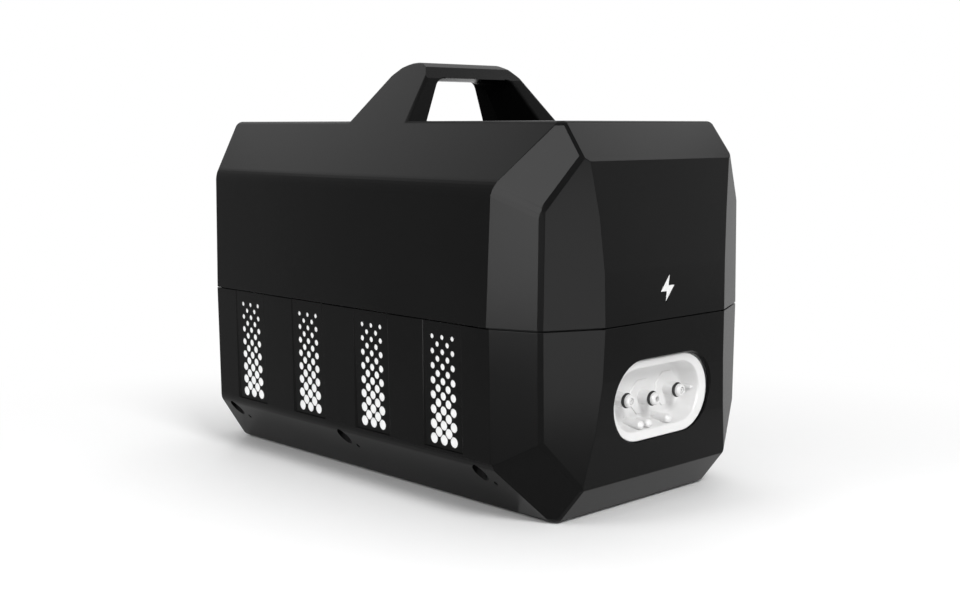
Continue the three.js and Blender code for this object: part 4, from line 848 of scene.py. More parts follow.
def oval_ring(x, half, half_height, steps=24):
    """An oval with straight top and bottom about the socket's middle, in a plane across the machine."""
    end = arc(half - half_height, 0, half_height, -90, 90, steps)
    return [at(x, side * y, SOCKET_Z + side * z) for side in (-1, 1) for y, z in end]


for sign in (-1, 1):
    for x in SCREW_PLACES:
        drain_at = (x + DRAIN_OFFSET, sign * (SCREW_Y - DRAIN_INSET), 0)
        pocket = round_bar("pocket", "z", POCKET_RADIUS, CUT_LOW, POCKET_TOP, (x, sign * SCREW_Y, 0))
        drain = round_bar("drain", "z", DRAIN_RADIUS, CUT_LOW, DRAIN_TOP, drain_at, 16)
        combine(lower_mesh, pocket, "DIFFERENCE")
        combine(lower_mesh, drain, "DIFFERENCE")

mouth = [oval_ring(x, SOCKET_HALF + more, SOCKET_HALF_HEIGHT + more) for x, more in SOCKET_MOUTH]
combine(lower_mesh, loft(mouth, "hole"), "DIFFERENCE")
print("pockets, drains and the socket's oval are cut")

# %% [markdown]
# # Sunk vents
# Each vent strip lies in a shallow tray. The tray is deep at its low end and runs out near the seam. Its
# broken edge is a second, shallower cut with sloping sides, which catches a thin line of light.

# %% Trays of the vents
VENT_CENTRES = (-112.5, -37.5, 37.5, 112.5)
VENT_HALF = 18.3
VENT_LOW = 44.5
SIDE_LOW = 117.56
SIDE_HIGH = 118.8
STEP_LOW = 1.25
STEP_HIGH = 0.25
BREAK_DEPTH = 0.28
BREAK_RUN = 0.56


def vent_tray(x, sign, growth, low_depth, high_depth, run):
    """A shallow tray about a vent. Its edges slope by the run over the depth, further out by the growth."""
    corners = []
    levels = ((VENT_LOW, SIDE_LOW, low_depth, STEP_LOW), (SEAM, SIDE_HIGH, high_depth, STEP_HIGH))
    for z, surface, depth, step in levels:
        for side in (-1, 1):
            foot = VENT_HALF + growth * step
            corners.append(at(x + side * foot, sign * (surface - depth), z))
            corners.append(at(x + side * (foot + run * depth * 3), sign * (surface + depth * 2), z))
    return hull_body("tray", corners, 0.01)


for sign in (-1, 1):
    for x in VENT_CENTRES:
        broken_edge = vent_tray(x, sign, 1, BREAK_DEPTH, BREAK_DEPTH, BREAK_RUN / BREAK_DEPTH)
        combine(lower_mesh, vent_tray(x, sign, 0, STEP_LOW, STEP_HIGH, 1), "DIFFERENCE")
        combine(lower_mesh, broken_edge, "DIFFERENCE")

settle(smooth(upper_mesh, 12), "case_black", "upper_shell")
settle(smooth(lower_mesh, 12), "case_black", "lower_shell")

# %% [markdown]
# # Geometry Nodes for what repeats
# Perforations, ribs and screws repeat by a rule, so each is grown by a small Geometry Nodes tree. A tree's
# sizes are named inputs, so the same tree can make a wider strip or a longer row of ribs. Its result is
# baked to a plain mesh.

# %% Tree helpers


def size_tree(name, lengths, count):
    """A Geometry Nodes tree with named lengths and one named count, and the sockets that carry them."""
    tree = bpy.data.node_groups.new(name, "GeometryNodeTree")
    tree.is_modifier = True
    for direction in ("INPUT", "OUTPUT"):
        tree.interface.new_socket("Geometry", in_out=direction, socket_type="NodeSocketGeometry")
    for label in lengths:
        tree.interface.new_socket(label, in_out="INPUT", socket_type="NodeSocketFloat")
    tree.interface.new_socket(count, in_out="INPUT", socket_type="NodeSocketInt")
    return tree, add_node(tree, "NodeGroupInput").outputs


def four_rules(tree):
    """Addition, subtraction, multiplication and division in one tree."""
    return [partial(calc, tree, rule) for rule in ("ADD", "SUBTRACT", "MULTIPLY", "DIVIDE")]


def scatter(tree, count, position, instance, more=()):
    """Copies of an instance on a line of points, each moved to its own position."""
    line = add_node(tree, "GeometryNodeMeshLine", {"Count": count}).outputs["Mesh"]
    spots = add_node(tree, "GeometryNodeSetPosition", {"Geometry": line, "Position": position})
    inputs = {"Points": spots.outputs["Geometry"], "Instance": instance, **dict(more)}
    return add_node(tree, "GeometryNodeInstanceOnPoints", inputs).outputs["Instances"]


def end_tree(tree, geometry, material):
    """Realizes what a tree made, gives it its material and sends it out."""
    real = add_node(tree, "GeometryNodeRealizeInstances", {"Geometry": geometry}).outputs[0]
    paint = add_node(tree, "GeometryNodeSetMaterial", {"Geometry": real, "Material": material})
    add_node(tree, "NodeGroupOutput", {"Geometry": paint.outputs[0]})


def grow(name, tree, sizes):
    """Runs a tree once with these sizes, and returns the plain result."""
    piece = linked(name, bpy.data.meshes.new(name))
    step = piece.modifiers.new("grow", "NODES")
    step.node_group = tree
    for item in tree.interface.items_tree:
        if item.in_out == "INPUT" and item.name in sizes:
            step[item.identifier] = sizes[item.name]
    return baked(piece)


# %% [markdown]
# # Vent strips
# Each side of the machine breathes through four perforated strips. Their holes grow from 3.5 to 7.5 mm down
# the strip, three and two in a row by turns, like a half-tone print. The tree lays out a line of points,
# moves each to its row and column, puts a circle on it, and fills between the circles and the strip's
# outline.

# %% Perforated strip tree
PER_ROW = 3
HOLE_SIDES = 28
STRIP_LENGTHS = [
    "Width", "Height", "Skin", "First Row", "Row Pitch", "Column Pitch", "Small Hole", "Large Hole"
]
strip_tree, size = size_tree("perforated_strip", STRIP_LENGTHS, "Rows")
add, subtract, multiply, divide = four_rules(strip_tree)
index = add_node(strip_tree, "GeometryNodeInputIndex").outputs[0]
row = calc(strip_tree, "FLOOR", divide(index, PER_ROW))
column = calc(strip_tree, "MODULO", index, PER_ROW)
odd = calc(strip_tree, "MODULO", row, 2)
hole_x = multiply(add(subtract(column, 1), multiply(odd, 0.5)), size["Column Pitch"])
hole_y = subtract(size["First Row"], multiply(row, size["Row Pitch"]))
share = divide(row, subtract(size["Rows"], 1))
growth = subtract(size["Large Hole"], size["Small Hole"])
radius = add(size["Small Hole"], multiply(share, growth))
wanted = calc(strip_tree, "LESS_THAN", add(column, odd), PER_ROW - 0.5)

unit = {"Resolution": HOLE_SIDES, "Radius": 1}
hole = add_node(strip_tree, "GeometryNodeCurvePrimitiveCircle", unit).outputs["Curve"]
hole_dials = {"Selection": wanted, "Scale": vector(strip_tree, radius, radius, radius)}
hole_place = vector(strip_tree, hole_x, hole_y)
holes = scatter(strip_tree, multiply(size["Rows"], PER_ROW), hole_place, hole, hole_dials)
edges = {"Width": size["Width"], "Height": size["Height"]}
edge = add_node(strip_tree, "GeometryNodeCurvePrimitiveQuadrilateral", edges).outputs["Curve"]
outlines = add_node(strip_tree, "GeometryNodeJoinGeometry", {"Geometry": [edge, holes]}).outputs[0]
loose = add_node(strip_tree, "GeometryNodeRealizeInstances", {"Geometry": outlines}).outputs[0]
sheet = add_node(strip_tree, "GeometryNodeFillCurve", {"Curve": loose}, mode="TRIANGLES").outputs["Mesh"]
depth = {"Mesh": sheet, "Offset Scale": size["Skin"], "Individual": False}
thick = add_node(strip_tree, "GeometryNodeExtrudeMesh", depth).outputs["Mesh"]
back = add_node(strip_tree, "GeometryNodeFlipFaces", {"Mesh": sheet}).outputs["Mesh"]
both = add_node(strip_tree, "GeometryNodeJoinGeometry", {"Geometry": [thick, back]}).outputs[0]
weld = {"Geometry": both, "Distance": WELD * MM}
closed = add_node(strip_tree, "GeometryNodeMergeByDistance", weld).outputs["Geometry"]
end_tree(strip_tree, closed, vent_black)
print("strip tree has", len(strip_tree.nodes), "nodes")

# %% Strips in their vents
VENT_HIGH = 131.6
VENT_GAP = 0.05
STRIP_SKIN = 0.5
STRIP_LOW_Y = 116.36
STRIP_HIGH_Y = 118.6
FIRST_ROW = 121.3
strip_height = VENT_HIGH - VENT_LOW - 2 * VENT_GAP
strip_lengths = {
    "Width": 2 * (VENT_HALF - VENT_GAP),
    "Height": strip_height,
    "Skin": STRIP_SKIN,
    "First Row": FIRST_ROW - VENT_LOW - VENT_GAP - strip_height / 2,
    "Row Pitch": 5.04,
    "Column Pitch": 10.0,
    "Small Hole": 1.75,
    "Large Hole": 3.75,
}
strip_sizes = {label: length * MM for label, length in strip_lengths.items()}
strip = grow("strip", strip_tree, {**strip_sizes, "Rows": 15})
lean = math.atan2(STRIP_HIGH_Y - STRIP_LOW_Y, VENT_HIGH - VENT_LOW)
onwards = Vector((1, 0, 0))
upwards = Vector((0, -math.sin(lean), math.cos(lean)))
outwards = onwards.cross(upwards)
turned = Matrix((onwards, upwards, outwards)).transposed().to_4x4()
SIDES = (("left", 0), ("right", math.pi))

for side, turn in SIDES:
    for k, x in enumerate(VENT_CENTRES):
        number = k + 1 if side == "left" else len(VENT_CENTRES) - k
        name = f"vent_grille_{side}_{number}"
        foot = at(x, -STRIP_LOW_Y, VENT_LOW + VENT_GAP)
        middle = foot + upwards * strip_height / 2 * MM - outwards * STRIP_SKIN * MM
        mesh = strip.data.copy()
        mesh.transform(Matrix.Rotation(turn, 4, "Z") @ Matrix.Translation(middle) @ turned)
        settle(linked("fine_" + name, mesh), "case_black", name, material=vent_black)
bpy.data.objects.remove(strip)

# %% [markdown]
# # Filter felts
# White felt lies right behind the holes and makes them read as white dots. It is a sheet with a pad for each
# vent.

# %% Felts
FELT_Y = 102.6
FELT_BACK = 100.1
FELT_HALF = 18.0
FELT_HEIGHTS = (44.8, 128.6)
FELT_PLAY = 0.05
for side, turn in SIDES:
    reach = VENT_CENTRES[-1] + FELT_HALF
    sheet_corners = box_corners((-reach, reach), (-FELT_Y, -FELT_BACK), FELT_HEIGHTS)
    felt = hull_body("felt_" + side, sheet_corners)
    for x in VENT_CENTRES:
        corners = []
        for z in FELT_HEIGHTS:
            height_share = (z - VENT_LOW) / (VENT_HIGH - VENT_LOW)
            surface = STRIP_LOW_Y + (STRIP_HIGH_Y - STRIP_LOW_Y) * height_share
            ys = (STRIP_SKIN + FELT_PLAY - surface, -FELT_BACK - 1)
            corners += box_corners((x - FELT_HALF, x + FELT_HALF), ys, (z,))
        combine(felt, hull_body("pad", corners, 0.01), "UNION")
    felt.data.transform(Matrix.Rotation(turn, 4, "Z"))
    settle(felt, "felt_white", "filter_sheet_" + side)

# %% [markdown]
# # The hose socket
# The white bowl is clipped into the end wall. Its rim is a wide sloping ring, and the walls run down to a
# floor with rounded corners. The profile gives places along the machine with how much wider the oval is
# there than the rim: the back of the floor, the flange, the rim, and in again.

# %% Bowl
RIM_HALF = 51.7
RIM_HALF_HEIGHT = 27.7
FLOOR_X = 187.5
BOWL_BACK = [(184.5, -6.6), (198.5, -0.4), (198.5, 6.0), (201.4, 6.0), (201.4, 0.0)]
BOWL_RIM = [(203.5, 0.0), (204.1, -0.12), (204.45, -0.4), (204.6, -0.8), (204.5, -1.3)]
BOWL_SLOPE = [(202.95, -5.1), (202.6, -5.75), (202.0, -6.15), (201.2, -6.4)]
BOWL_FLOOR = [(191.0, -8.7), (189.5, -9.15), (188.4, -9.9), (187.75, -11.0), (FLOOR_X, -12.6)]
bowl_profile = BOWL_BACK + BOWL_RIM + BOWL_SLOPE + BOWL_FLOOR
bowl_rings = [oval_ring(x, RIM_HALF + more, RIM_HALF_HEIGHT + more, 20) for x, more in bowl_profile]
bowl = loft(bowl_rings, "socket_bowl")
print("bowl", len(bowl.data.vertices), "points")

# %% Ribs, key and collars of the socket
SUNK = 1.5
RIB_RADIUS = 3.1
RIB_Z = 60.2
RIB_END = 200.5
RIBS = ((FLOOR_X - SUNK, -17.0), (FLOOR_X - SUNK, 13.0), (RIB_END - 8, -8.5))
KEY_ENDS = ((FLOOR_X - SUNK, 39.5), (FLOOR_X + 10.5, 41.2))
KEY_FAR = 45.0
KEY_HEIGHTS = (77.2, 78.8)
COLLAR_RINGS = ((FLOOR_X - 1, 13.0), (FLOOR_X + 0.4, 13.0), (FLOOR_X + 0.7, 12.6))
NIPPLES = {"supply": (-27.4, 78.0), "air": (0.0, 75.7), "return": (27.4, 78.0)}

for start, y in RIBS:
    nose = arc(0, RIB_END, RIB_RADIUS, 0, 90, 6)[:-1]
    profile = [(0, start), (RIB_RADIUS, start), *nose, (0, RIB_END + RIB_RADIUS)]
    combine(bowl, turned_body("rib", profile, (0, y, RIB_Z), "x", 20), "UNION")

key_corners = [corner for x, low in KEY_ENDS for corner in box_corners((x,), (low, KEY_FAR), KEY_HEIGHTS)]
combine(bowl, hull_body("key", key_corners), "UNION")

for y, z in NIPPLES.values():
    collar = [[at(x, *p) for p in circle(y, z, radius, 8, 22.5)] for x, radius in COLLAR_RINGS]
    combine(bowl, loft(collar, "collar"), "UNION")
settle(smooth(bowl, 28), "fitting_white", "connector_housing")

# %% [markdown]
# # Nipples
# A wrap's hoses push onto three nipples. Each is a barrel, a groove with a rubber ring, and a nose with a
# soft lead. The two water nipples hold a sprung poppet that shuts when no hose is on. The air nipple is
# open.

# %% Nipples, rings and poppets
BARREL = 4.9
BARREL_LENGTH = 9.0
GROOVE = 3.15
GROOVE_WIDTH = 2.4
NOSE = 4.5
NOSE_LENGTH = 3.2
TIP = 3.1
AIR_BORE = 1.8
WATER_BORE = 2.2
BEHIND = -14.0
SEAT = 9.0
RING_TUBE = 0.9
POPPET = 1.8
DIMPLE = 0.9
groove_end = BARREL_LENGTH + GROOVE_WIDTH
front = groove_end + NOSE_LENGTH


def nipple_profile(bore):
    """The half section of a nipple, from its back over the barrel, groove and nose, and in to its bore."""
    outside = [
        (AIR_BORE, BEHIND),
        (BARREL, BEHIND),
        (BARREL, BARREL_LENGTH - 0.35),
        (BARREL - 0.1, BARREL_LENGTH - 0.1),
        (BARREL - 0.35, BARREL_LENGTH),
        (GROOVE, BARREL_LENGTH),
        (GROOVE, groove_end),
        (NOSE - 0.3, groove_end),
        (NOSE, groove_end + 0.3),
    ]
    lead = [(NOSE, 1.7), (NOSE - 0.12, 1.25), (NOSE - 0.5, 0.6), (TIP + 0.35, 0.1), (TIP, 0)]
    mouth = [(bore + 0.25, 0), (bore, 0.3)]
    seat = [(bore, SEAT), (AIR_BORE, SEAT)] if bore > AIR_BORE else []
    return outside + [(radius, front - depth) for radius, depth in lead + mouth + seat]


poppet_steps = [(0, 6), (POPPET, 6), (POPPET, 0.2), (POPPET - 0.2, 0), (DIMPLE + 0.15, 0), (DIMPLE, 0.15)]
poppet_steps += [(DIMPLE, 1.2), (0, 1.2)]
poppet_profile = [(radius, front - 0.6 - depth) for radius, depth in poppet_steps]
ring_profile = circle(GROOVE + 0.3 + RING_TUBE, BARREL_LENGTH + GROOVE_WIDTH / 2, RING_TUBE, 14)

for label, (y, z) in NIPPLES.items():
    middle = (FLOOR_X, y, z)
    bore = AIR_BORE if label == "air" else WATER_BORE
    nipple = turned_body("fine_nipple_" + label, nipple_profile(bore), middle, "x")
    settle(smooth(nipple, 40), "fitting_white", "nipple_" + label)
    o_ring = turned_body("fine_o_ring_" + label, ring_profile, middle, "x")
    settle(smooth(o_ring, 60), "rubber_black", "o_ring_" + label)
    if label != "air":
        name = "poppet_" + label
        poppet = turned_body("fine_" + name, poppet_profile, middle, "x", 32)
        settle(smooth(poppet, 40), "fitting_white", name, body=name)

# %% [markdown]
# # Flat mouldings with rounded edges
# The panel, its pane, the lid and the printed signs are all flat shapes with some thickness. Blender's 2D
# curves make such shapes well: one closed outline, any holes in it, a depth and a small bevel. The curve is
# turned into a mesh and laid in its place.

# %% Flat moulding helper
CURVE_WELD = 0.001
LIFT = Matrix.Translation((0, 0, FOOT_PROUD * MM))
QUARTERS = ((1, -1), (1, 1), (-1, 1), (-1, -1))


def rounded_outline(length, width, corner, x=0.0, y=0.0):
    """A rectangle with round corners about a middle."""
    points = []
    for k, (sx, sy) in enumerate(QUARTERS):
        middle = (x + sx * (length / 2 - corner), y + sy * (width / 2 - corner))
        points += arc(*middle, corner, 90 * (k - 1), 90 * k, 8)
    return points


def moulding(name, outlines, bottom, top, edge, place=LIFT):
    """A flat shape from its outline and holes, between two heights, its edges rounded by a small radius."""
    curve = bpy.data.curves.new(name, "CURVE")
    curve.dimensions = "2D"
    curve.fill_mode = "BOTH"
    curve.extrude = ((top - bottom) / 2 - edge) * MM
    curve.bevel_depth = edge * MM
    curve.bevel_resolution = 2
    curve.offset = -edge * MM
    for outline in outlines:
        spline = curve.splines.new("POLY")
        spline.points.add(len(outline) - 1)
        spline.use_cyclic_u = True
        for point, (x, y) in zip(spline.points, outline):
            point.co = (x * MM, y * MM, 0, 1)
    holder = linked(name, curve)
    mesh = plain_mesh(holder)
    bpy.data.objects.remove(holder)
    bpy.data.curves.remove(curve)
    bm = bmesh.new()
    bm.from_mesh(mesh)
    bpy.data.meshes.remove(mesh)
    bmesh.ops.remove_doubles(bm, verts=bm.verts, dist=CURVE_WELD * MM)
    bmesh.ops.recalc_face_normals(bm, faces=bm.faces)
    bm.transform(place @ Matrix.Translation((0, 0, (bottom + top) / 2 * MM)))
    return object_from(bm, name)


# %% [markdown]
# # Control panel
# The top carries the controls. They can't be seen in the photograph, so they are plain ones that such a
# machine has: a gloss bezel, a dark display, a power button and a row of four. The printed signs on the
# buttons are general ones: power, mode, minus, plus and start.

# %% Bezel and pane
FIT = 0.3
PANEL_TOP = 264.8
BEZEL_THICK = 1.5
BEZEL_EDGE = 0.3
BEZEL = {"length": 96.0, "width": 112.0, "corner": 8.0, "x": 107.0}
PANE_THICK = 1.2
PANE_EDGE = 0.2
PANE = {"length": 34.0, "width": 72.0, "corner": 3.0, "x": 128.0}
BUTTONS = {
    "power": (77.0, 0.0, 9.0),
    "mode": (96.0, -33.0, 6.5),
    "minus": (96.0, -11.0, 6.5),
    "plus": (96.0, 11.0, 6.5),
    "start": (96.0, 33.0, 6.5),
}


def fitted(shape, play):
    """The outline of a rounded rectangle with its play all round."""
    sides = {"length": shape["length"] + 2 * play, "width": shape["width"] + 2 * play}
    return rounded_outline(**{**shape, **sides})


bezel_outlines = [fitted(BEZEL, -FIT), fitted(PANE, FIT)]
bezel_outlines += [circle(x, y, radius + FIT) for x, y, radius in BUTTONS.values()]
bezel = moulding("fine_bezel", bezel_outlines, PANEL_TOP - BEZEL_THICK, PANEL_TOP, BEZEL_EDGE)
settle(smooth(bezel, 40), "panel_black", "control_bezel")
pane = moulding("fine_pane", [fitted(PANE, 0)], PANEL_TOP - PANE_THICK, PANEL_TOP, PANE_EDGE)
settle(smooth(pane, 40), "display_glass", "display_window")

# %% Push buttons
STEM = 3.4
FLANGE_SPREAD = 1.1
FLANGE_HEIGHT = 1.0
SHOULDER = 0.5
DISH = 0.35
DISH_RINGS = 6
flange_top = PANEL_TOP - BEZEL_THICK - FIT


def push_button(name, x, y, radius):
    """A round key with a slightly dished top, a soft shoulder and a flange under the bezel."""
    profile = [
        (0, PANEL_TOP - STEM),
        (radius, PANEL_TOP - STEM),
        (radius, flange_top - FLANGE_HEIGHT),
        (radius + FLANGE_SPREAD, flange_top - FLANGE_HEIGHT),
        (radius + FLANGE_SPREAD, flange_top),
        (radius, flange_top),
    ]
    profile += arc(radius - SHOULDER, PANEL_TOP - SHOULDER, SHOULDER, 0, 90, 4)
    for k in range(1, DISH_RINGS):
        share = 1 - k / DISH_RINGS
        profile.append(((radius - 0.8) * share, PANEL_TOP - DISH * (1 - share**2)))
    return turned_body(name, [*profile, (0, PANEL_TOP - DISH)], (x, y, 0))


for label, button in BUTTONS.items():
    name = "button_" + label
    settle(smooth(push_button("fine_" + name, *button), 50), "button_grey", name, body=name)

# %% [markdown]
# # Printed signs
# The signs are thin layers of white ink. Ink lies on the dished key, so each sign is a very thin moulding
# just above the bottom of the dish.

# %% Signs
INK = 0.05
INK_EDGE = 0.01
STROKE = 0.8
PLUS_ARM = 2.4
ink_low = PANEL_TOP - DISH


def arc_stroke(radius, start, end):
    """A stroke along part of a circle, from one angle to another in degrees."""
    inner = arc(0, 0, radius - STROKE / 2, end, start, 24)
    return arc(0, 0, radius + STROKE / 2, start, end, 24) + inner


def straight_stroke(length, width, y=0.0):
    """A straight stroke, given by its length across and its width up the sign."""
    return [(sx * length / 2, y + sy * width / 2) for sx, sy in QUARTERS]


def plus_outline(arm, half):
    """A plus as one outline of twelve corners."""
    points = []
    for quarter in range(4):
        turn = Matrix.Rotation(math.pi / 2 * quarter, 2)
        points += [tuple(turn @ Vector(corner)) for corner in ((arm, -half), (arm, half), (half, half))]
    return points


SIGNS = {
    "power": [arc_stroke(3.4, 130, 410), straight_stroke(STROKE, 3.6, 2.4)],
    "mode": [arc_stroke(2.6, 20, 160), arc_stroke(2.6, 200, 340), circle(0, 0, 0.9, 20)],
    "minus": [straight_stroke(2 * PLUS_ARM, STROKE)],
    "plus": [plus_outline(PLUS_ARM, STROKE / 2)],
    "start": [[(-1.7, -2.1), (2.3, 0.0), (-1.7, 2.1)]],
}
for label, outlines in SIGNS.items():
    x, y, _ = BUTTONS[label]
    lie = Matrix.Translation(at(x, y, 0)) @ Matrix.Rotation(math.pi / 2, 4, "Z")
    ink = moulding("sign_" + label, outlines, ink_low, ink_low + INK, INK_EDGE, lie)
    settle(ink, "fitting_white", body="button_" + label, material=sign_ink)

# %% [markdown]
# # Filler hatch
# The lid over the filler turns on a steel pin at the end away from the handle. It is a thin plate with a
# barrel along its hinge edge, made as one body from a flat moulding, a bridge and a bored bar.

# %% Lid
HATCH_X = -106.0
HATCH_LENGTH = 84.0
HATCH_WIDTH = 92.0
LID_THICK = 2.2
LID_CORNER = 5.7
LID_EDGE = 0.5
HINGE_RADIUS = 5.0
HINGE_HALF = 42.7
BRIDGE_LENGTH = 8.0
PIN_RADIUS = 1.4
PIN_PLAY = 0.15
PIN_HALF = 44.4
PIN_EDGE = 0.3
hinge_x = HATCH_X - HATCH_LENGTH / 2 + HINGE_RADIUS + FIT
hinge = (hinge_x, 0, TOP - HINGE_RADIUS)
lid_near = hinge_x + HINGE_RADIUS + FIT
lid_far = HATCH_X + HATCH_LENGTH / 2 - FIT
lid_size = (lid_far - lid_near, HATCH_WIDTH - 2 * FIT, LID_CORNER)
lid_outline = rounded_outline(*lid_size, (lid_far + lid_near) / 2)
lid = moulding("fine_hatch_lid", [lid_outline], TOP - LID_THICK, TOP, LID_EDGE)
bridge_heights = (TOP - LID_THICK + 0.05, TOP - 0.02)
bridge = box_corners((hinge_x, lid_near + BRIDGE_LENGTH), (-HINGE_HALF, HINGE_HALF), bridge_heights)
combine(lid, hull_body("bridge", bridge), "UNION")
combine(lid, round_bar("barrel", "y", HINGE_RADIUS, -HINGE_HALF, HINGE_HALF, hinge, 48), "UNION")
combine(lid, round_bar("bore", "y", PIN_RADIUS + PIN_PLAY, -50, 50, hinge, 24), "DIFFERENCE")
settle(smooth(lid, 35), "case_black", "hatch_lid", body="hatch")

pin_end = [(PIN_RADIUS, PIN_HALF - PIN_EDGE), (PIN_RADIUS - PIN_EDGE, PIN_HALF), (0, PIN_HALF)]
pin_profile = [(radius, -along) for radius, along in reversed(pin_end)] + pin_end
pin = turned_body("fine_hatch_pin", pin_profile, hinge, "y", 24)
settle(smooth(pin, 30), "bright_steel", "hatch_pin")

# %% [markdown]
# # Filler cap
# The cap screws onto the tank's neck. Its skirt is ribbed for wet fingers. The ribs are one small bar, put
# on a circle of points by a Geometry Nodes tree, so their number is a dial.

# %% Rib ring tree
ring_tree, size = size_tree("rib_ring", ["Radius", "Rib Width", "Rib Depth", "Rib Height"], "Ribs")
multiply, divide = four_rules(ring_tree)[2:]
rib_index = add_node(ring_tree, "GeometryNodeInputIndex").outputs[0]
rib_turn = multiply(rib_index, divide(2 * math.pi, size["Ribs"]))
rib_x = multiply(calc(ring_tree, "COSINE", rib_turn), size["Radius"])
rib_y = multiply(calc(ring_tree, "SINE", rib_turn), size["Radius"])
unit = {"Vertices": 8, "Radius": 0.5, "Depth": 1}
rib = add_node(ring_tree, "GeometryNodeMeshCylinder", unit).outputs["Mesh"]
rib_dials = {
    "Rotation": vector(ring_tree, 0, 0, rib_turn),
    "Scale": vector(ring_tree, size["Rib Depth"], size["Rib Width"], size["Rib Height"]),
}
ribs = scatter(ring_tree, size["Ribs"], vector(ring_tree, rib_x, rib_y), rib, rib_dials)
end_tree(ring_tree, ribs, FINISHES["button_grey"])

# %% Cap
CAP_RADIUS = 20.0
CAP_BORE = 17.3
CAP_LOW = 245.8
CAP_LID = 253.8
CAP_TOP = 255.8
GRIP_TOP = 260.2
GRIP = (34.0, 5.0, 2.4)
GRIP_EDGE = 0.8
cap_profile = [
    (0, CAP_LID),
    (CAP_BORE, CAP_LID),
    (CAP_BORE, CAP_LOW + 0.4),
    (CAP_BORE + 0.4, CAP_LOW),
    (CAP_RADIUS - 0.9, CAP_LOW),
    (CAP_RADIUS - 0.5, CAP_LOW + 0.4),
    (CAP_RADIUS - 0.5, CAP_TOP - 1.0),
    (CAP_RADIUS - 0.8, CAP_TOP - 0.3),
    (CAP_RADIUS - 1.5, CAP_TOP),
    (0, CAP_TOP),
]
rib_lengths = {"Radius": CAP_RADIUS - 0.6, "Rib Width": 1.3, "Rib Depth": 1.1, "Rib Height": 6.6}
rib_sizes = {label: length * MM for label, length in rib_lengths.items()}
cap = turned_body("fine_filler_cap", cap_profile, (HATCH_X, 0, 0), "z", 72)
rib_ring = grow("ribs", ring_tree, {**rib_sizes, "Ribs": 36})
rib_ring.data.transform(Matrix.Translation(at(HATCH_X, 0, (CAP_LOW + CAP_TOP) / 2 - 0.3)))
grip = moulding("grip", [rounded_outline(*GRIP, HATCH_X)], CAP_LID + 1, GRIP_TOP, GRIP_EDGE)
combine(cap, rib_ring, "UNION")
combine(cap, grip, "UNION")
settle(smooth(cap, 35), "button_grey", "filler_cap", body="cap")

# %% [markdown]
# # Mains inlet and rocker
# The rear end has a mains inlet and its switch in one frame. The flange stands in a shallow seat of the
# wall. The frame is a flat moulding and a box behind it, hollowed for the plug and for the rocker, with
# three flat pins.

# %% Inlet
INLET_Z = 64.0
FLANGE = (62.0, 34.0, 3.0)
FLANGE_THICK = 1.7
BACK_BOX = (54.0, 27.0, 1.0)
BACK_BOX_DEPTHS = (0.6, 24.0)
PLUG_Y = 11.0
PLUG_WELL = (26.0, 19.0, 3.0)
PLUG_WELL_DEPTHS = (-4.0, 15.0)
ROCKER_Y = -15.5
ROCKER_WELL = (12.6, 22.4, 0.6)
ROCKER_WELL_DEPTHS = (-4.0, 9.0)
BLADE = (2.0, 4.0, 0.6)
BLADE_DEPTHS = (5.5, 18.0)
BLADE_PLACES = ((0.0, 3.0), (-7.0, -3.0), (7.0, -3.0))
inlet_front = float(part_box("power_inlet")[0].x / MM)
stand = Matrix(((0, 0, 1, 0), (1, 0, 0, 0), (0, 1, 0, 0), (0, 0, 0, 1)))


def upright(name, outline, depths, y=0.0, z=0.0, edge=0.25):
    """A flat moulding that stands across the machine, between two depths behind the inlet's front."""
    low, high = (inlet_front + depth for depth in depths)
    place = Matrix.Translation(at(0, y, INLET_Z + z)) @ stand
    return moulding(name, [rounded_outline(*outline)], low, high, edge, place)


inlet = upright("fine_power_inlet", FLANGE, (0, FLANGE_THICK), edge=0.5)
combine(inlet, upright("box", BACK_BOX, BACK_BOX_DEPTHS), "UNION")
combine(inlet, upright("well", PLUG_WELL, PLUG_WELL_DEPTHS, PLUG_Y), "DIFFERENCE")
combine(inlet, upright("well", ROCKER_WELL, ROCKER_WELL_DEPTHS, ROCKER_Y), "DIFFERENCE")
for y, z in BLADE_PLACES:
    combine(inlet, upright("blade", BLADE, BLADE_DEPTHS, PLUG_Y + y, z, 0.3), "UNION")
settle(smooth(inlet, 35), "panel_black", "power_inlet")

# %% Rocker
ENDS_ROUNDING = 0.5
FACE_ROUNDING = 0.9


def rocker_widths(edge):
    """The rocker's square edges are rounded less than those of its face."""
    return ENDS_ROUNDING if turn_between(edge) > 60 else FACE_ROUNDING


rocker = softened("rocker_switch", "fine_rocker", rocker_widths, 4)
settle(smooth(rocker, 40), "panel_black", "rocker_switch", body="rocker")

# %% [markdown]
# # Case screws
# Six screws close the case, three a side, each at the bottom of a deep pocket. The screw is a turned body
# with a six-sided drive. A small tree puts one on every place of the record.

# %% One screw
HEAD_RADIUS = 4.3
HEAD_LOW = 109.0
HEAD_HIGH = 111.7
DOME = 1.6
DOME_RISE = 1.4
DOME_STEPS = 6
SHANK = 1.8
SHANK_TOP = 146.0
SHANK_TIP = 1.2
DRIVE_RADIUS = 1.75
DRIVE_DEPTH = 1.7
head_start = HEAD_LOW + 0.1
screw_profile = [(0, head_start)]
for k in range(1, DOME_STEPS + 1):
    turn = math.pi / 2 * k / DOME_STEPS
    rise = DOME_RISE * (1 - math.cos(turn))
    screw_profile.append((HEAD_RADIUS - DOME * (1 - math.sin(turn)), head_start + rise))
screw_profile += [(HEAD_RADIUS, HEAD_HIGH), (SHANK, HEAD_HIGH), (SHANK, SHANK_TOP - 1)]
screw_profile += [(SHANK_TIP, SHANK_TOP), (0, SHANK_TOP)]
model = turned_body("screw_model", screw_profile, (0, 0, 0), "z", 24)
drive = round_bar("drive", "z", DRIVE_RADIUS, HEAD_LOW - 2, HEAD_LOW + DRIVE_DEPTH, (0, 0, 0), 6)
combine(model, drive, "DIFFERENCE")

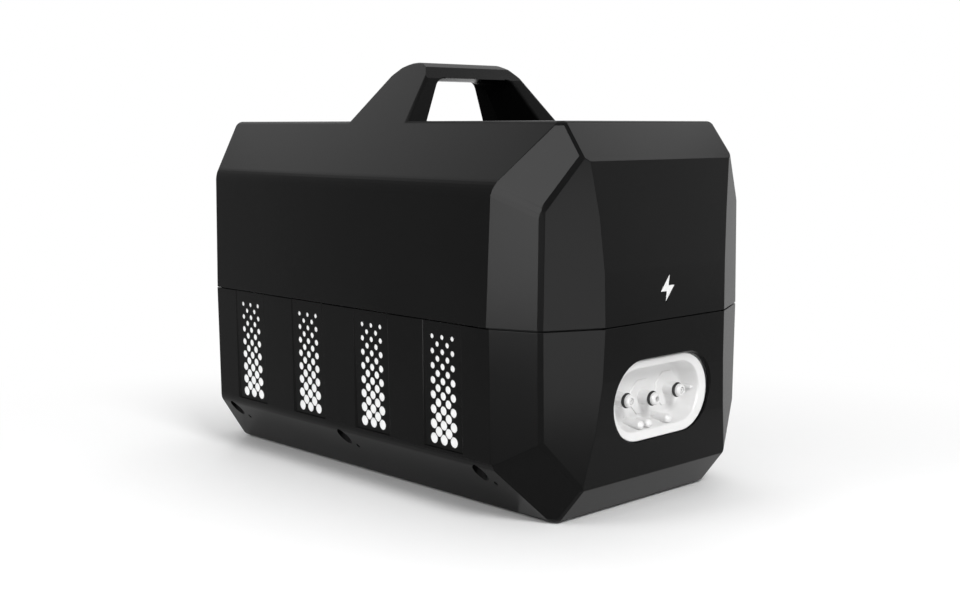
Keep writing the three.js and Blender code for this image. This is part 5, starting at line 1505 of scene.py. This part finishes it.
# %% All the screws
screw_tree, size = size_tree("case_screws", ["Spacing Across"], "Screws")
add, subtract, multiply, divide = four_rules(screw_tree)
screw_index = add_node(screw_tree, "GeometryNodeInputIndex").outputs[0]
which = calc(screw_tree, "FLOOR", divide(screw_index, 2))
side = subtract(calc(screw_tree, "MODULO", screw_index, 2), 0.5)
first, *others = (place * MM for place in SCREW_PLACES)
screw_x = first
for number, other in enumerate(others, 1):
    chosen = calc(screw_tree, "COMPARE", which, number, 0.1)
    screw_x = add(screw_x, multiply(chosen, other - first))
screw_place = vector(screw_tree, screw_x, multiply(side, size["Spacing Across"]))
source = {"Object": model, "As Instance": True}
screw = add_node(screw_tree, "GeometryNodeObjectInfo", source).outputs["Geometry"]
end_tree(screw_tree, scatter(screw_tree, size["Screws"], screw_place, screw), FINISHES["bright_steel"])

fine_screws = grow("case_screws", screw_tree, {"Spacing Across": 2 * SCREW_Y * MM, "Screws": 6})
bpy.data.objects.remove(model)
settle(smooth(fine_screws, 35), "bright_steel", *[f"case_screw_{k}" for k in range(1, 7)])

# %% [markdown]
# # Foot strips
# Two rubber strips keep the machine from sliding. Each stands 1 mm proud of the underside and is ribbed
# across.

# %% Feet
FOOT_X = 150.0
FOOT = (18.0, 130.0, 1.2)
FOOT_TOP = 1.3
FOOT_EDGE = 0.3
GROOVE_RADIUS = 0.7
GROOVES = 12
foot_length, foot_width, _ = FOOT
for label, x in (("front", FOOT_X), ("rear", -FOOT_X)):
    strip = moulding("fine_foot_" + label, [rounded_outline(*FOOT, x)], -FOOT_PROUD, FOOT_TOP, FOOT_EDGE)
    for k in range(GROOVES):
        middle = (0, foot_width * ((k + 1) / (GROOVES + 1) - 0.5), -FOOT_PROUD)
        groove = round_bar("groove", "x", GROOVE_RADIUS, x - foot_length, x + foot_length, middle, 12)
        combine(strip, groove, "DIFFERENCE")
    settle(smooth(strip, 35), "rubber_black", "foot_strip_" + label)

# %% [markdown]
# # Power sign on the end wall
# A flash set in its own pocket marks the power end. It keeps its CAD outline, with its front edges rounded.

# %% Flash
flash = softened("indicator_lens", "fine_indicator", lambda edge: 0.15, 2)
settle(smooth(flash, 35), "fitting_white", "indicator_lens")
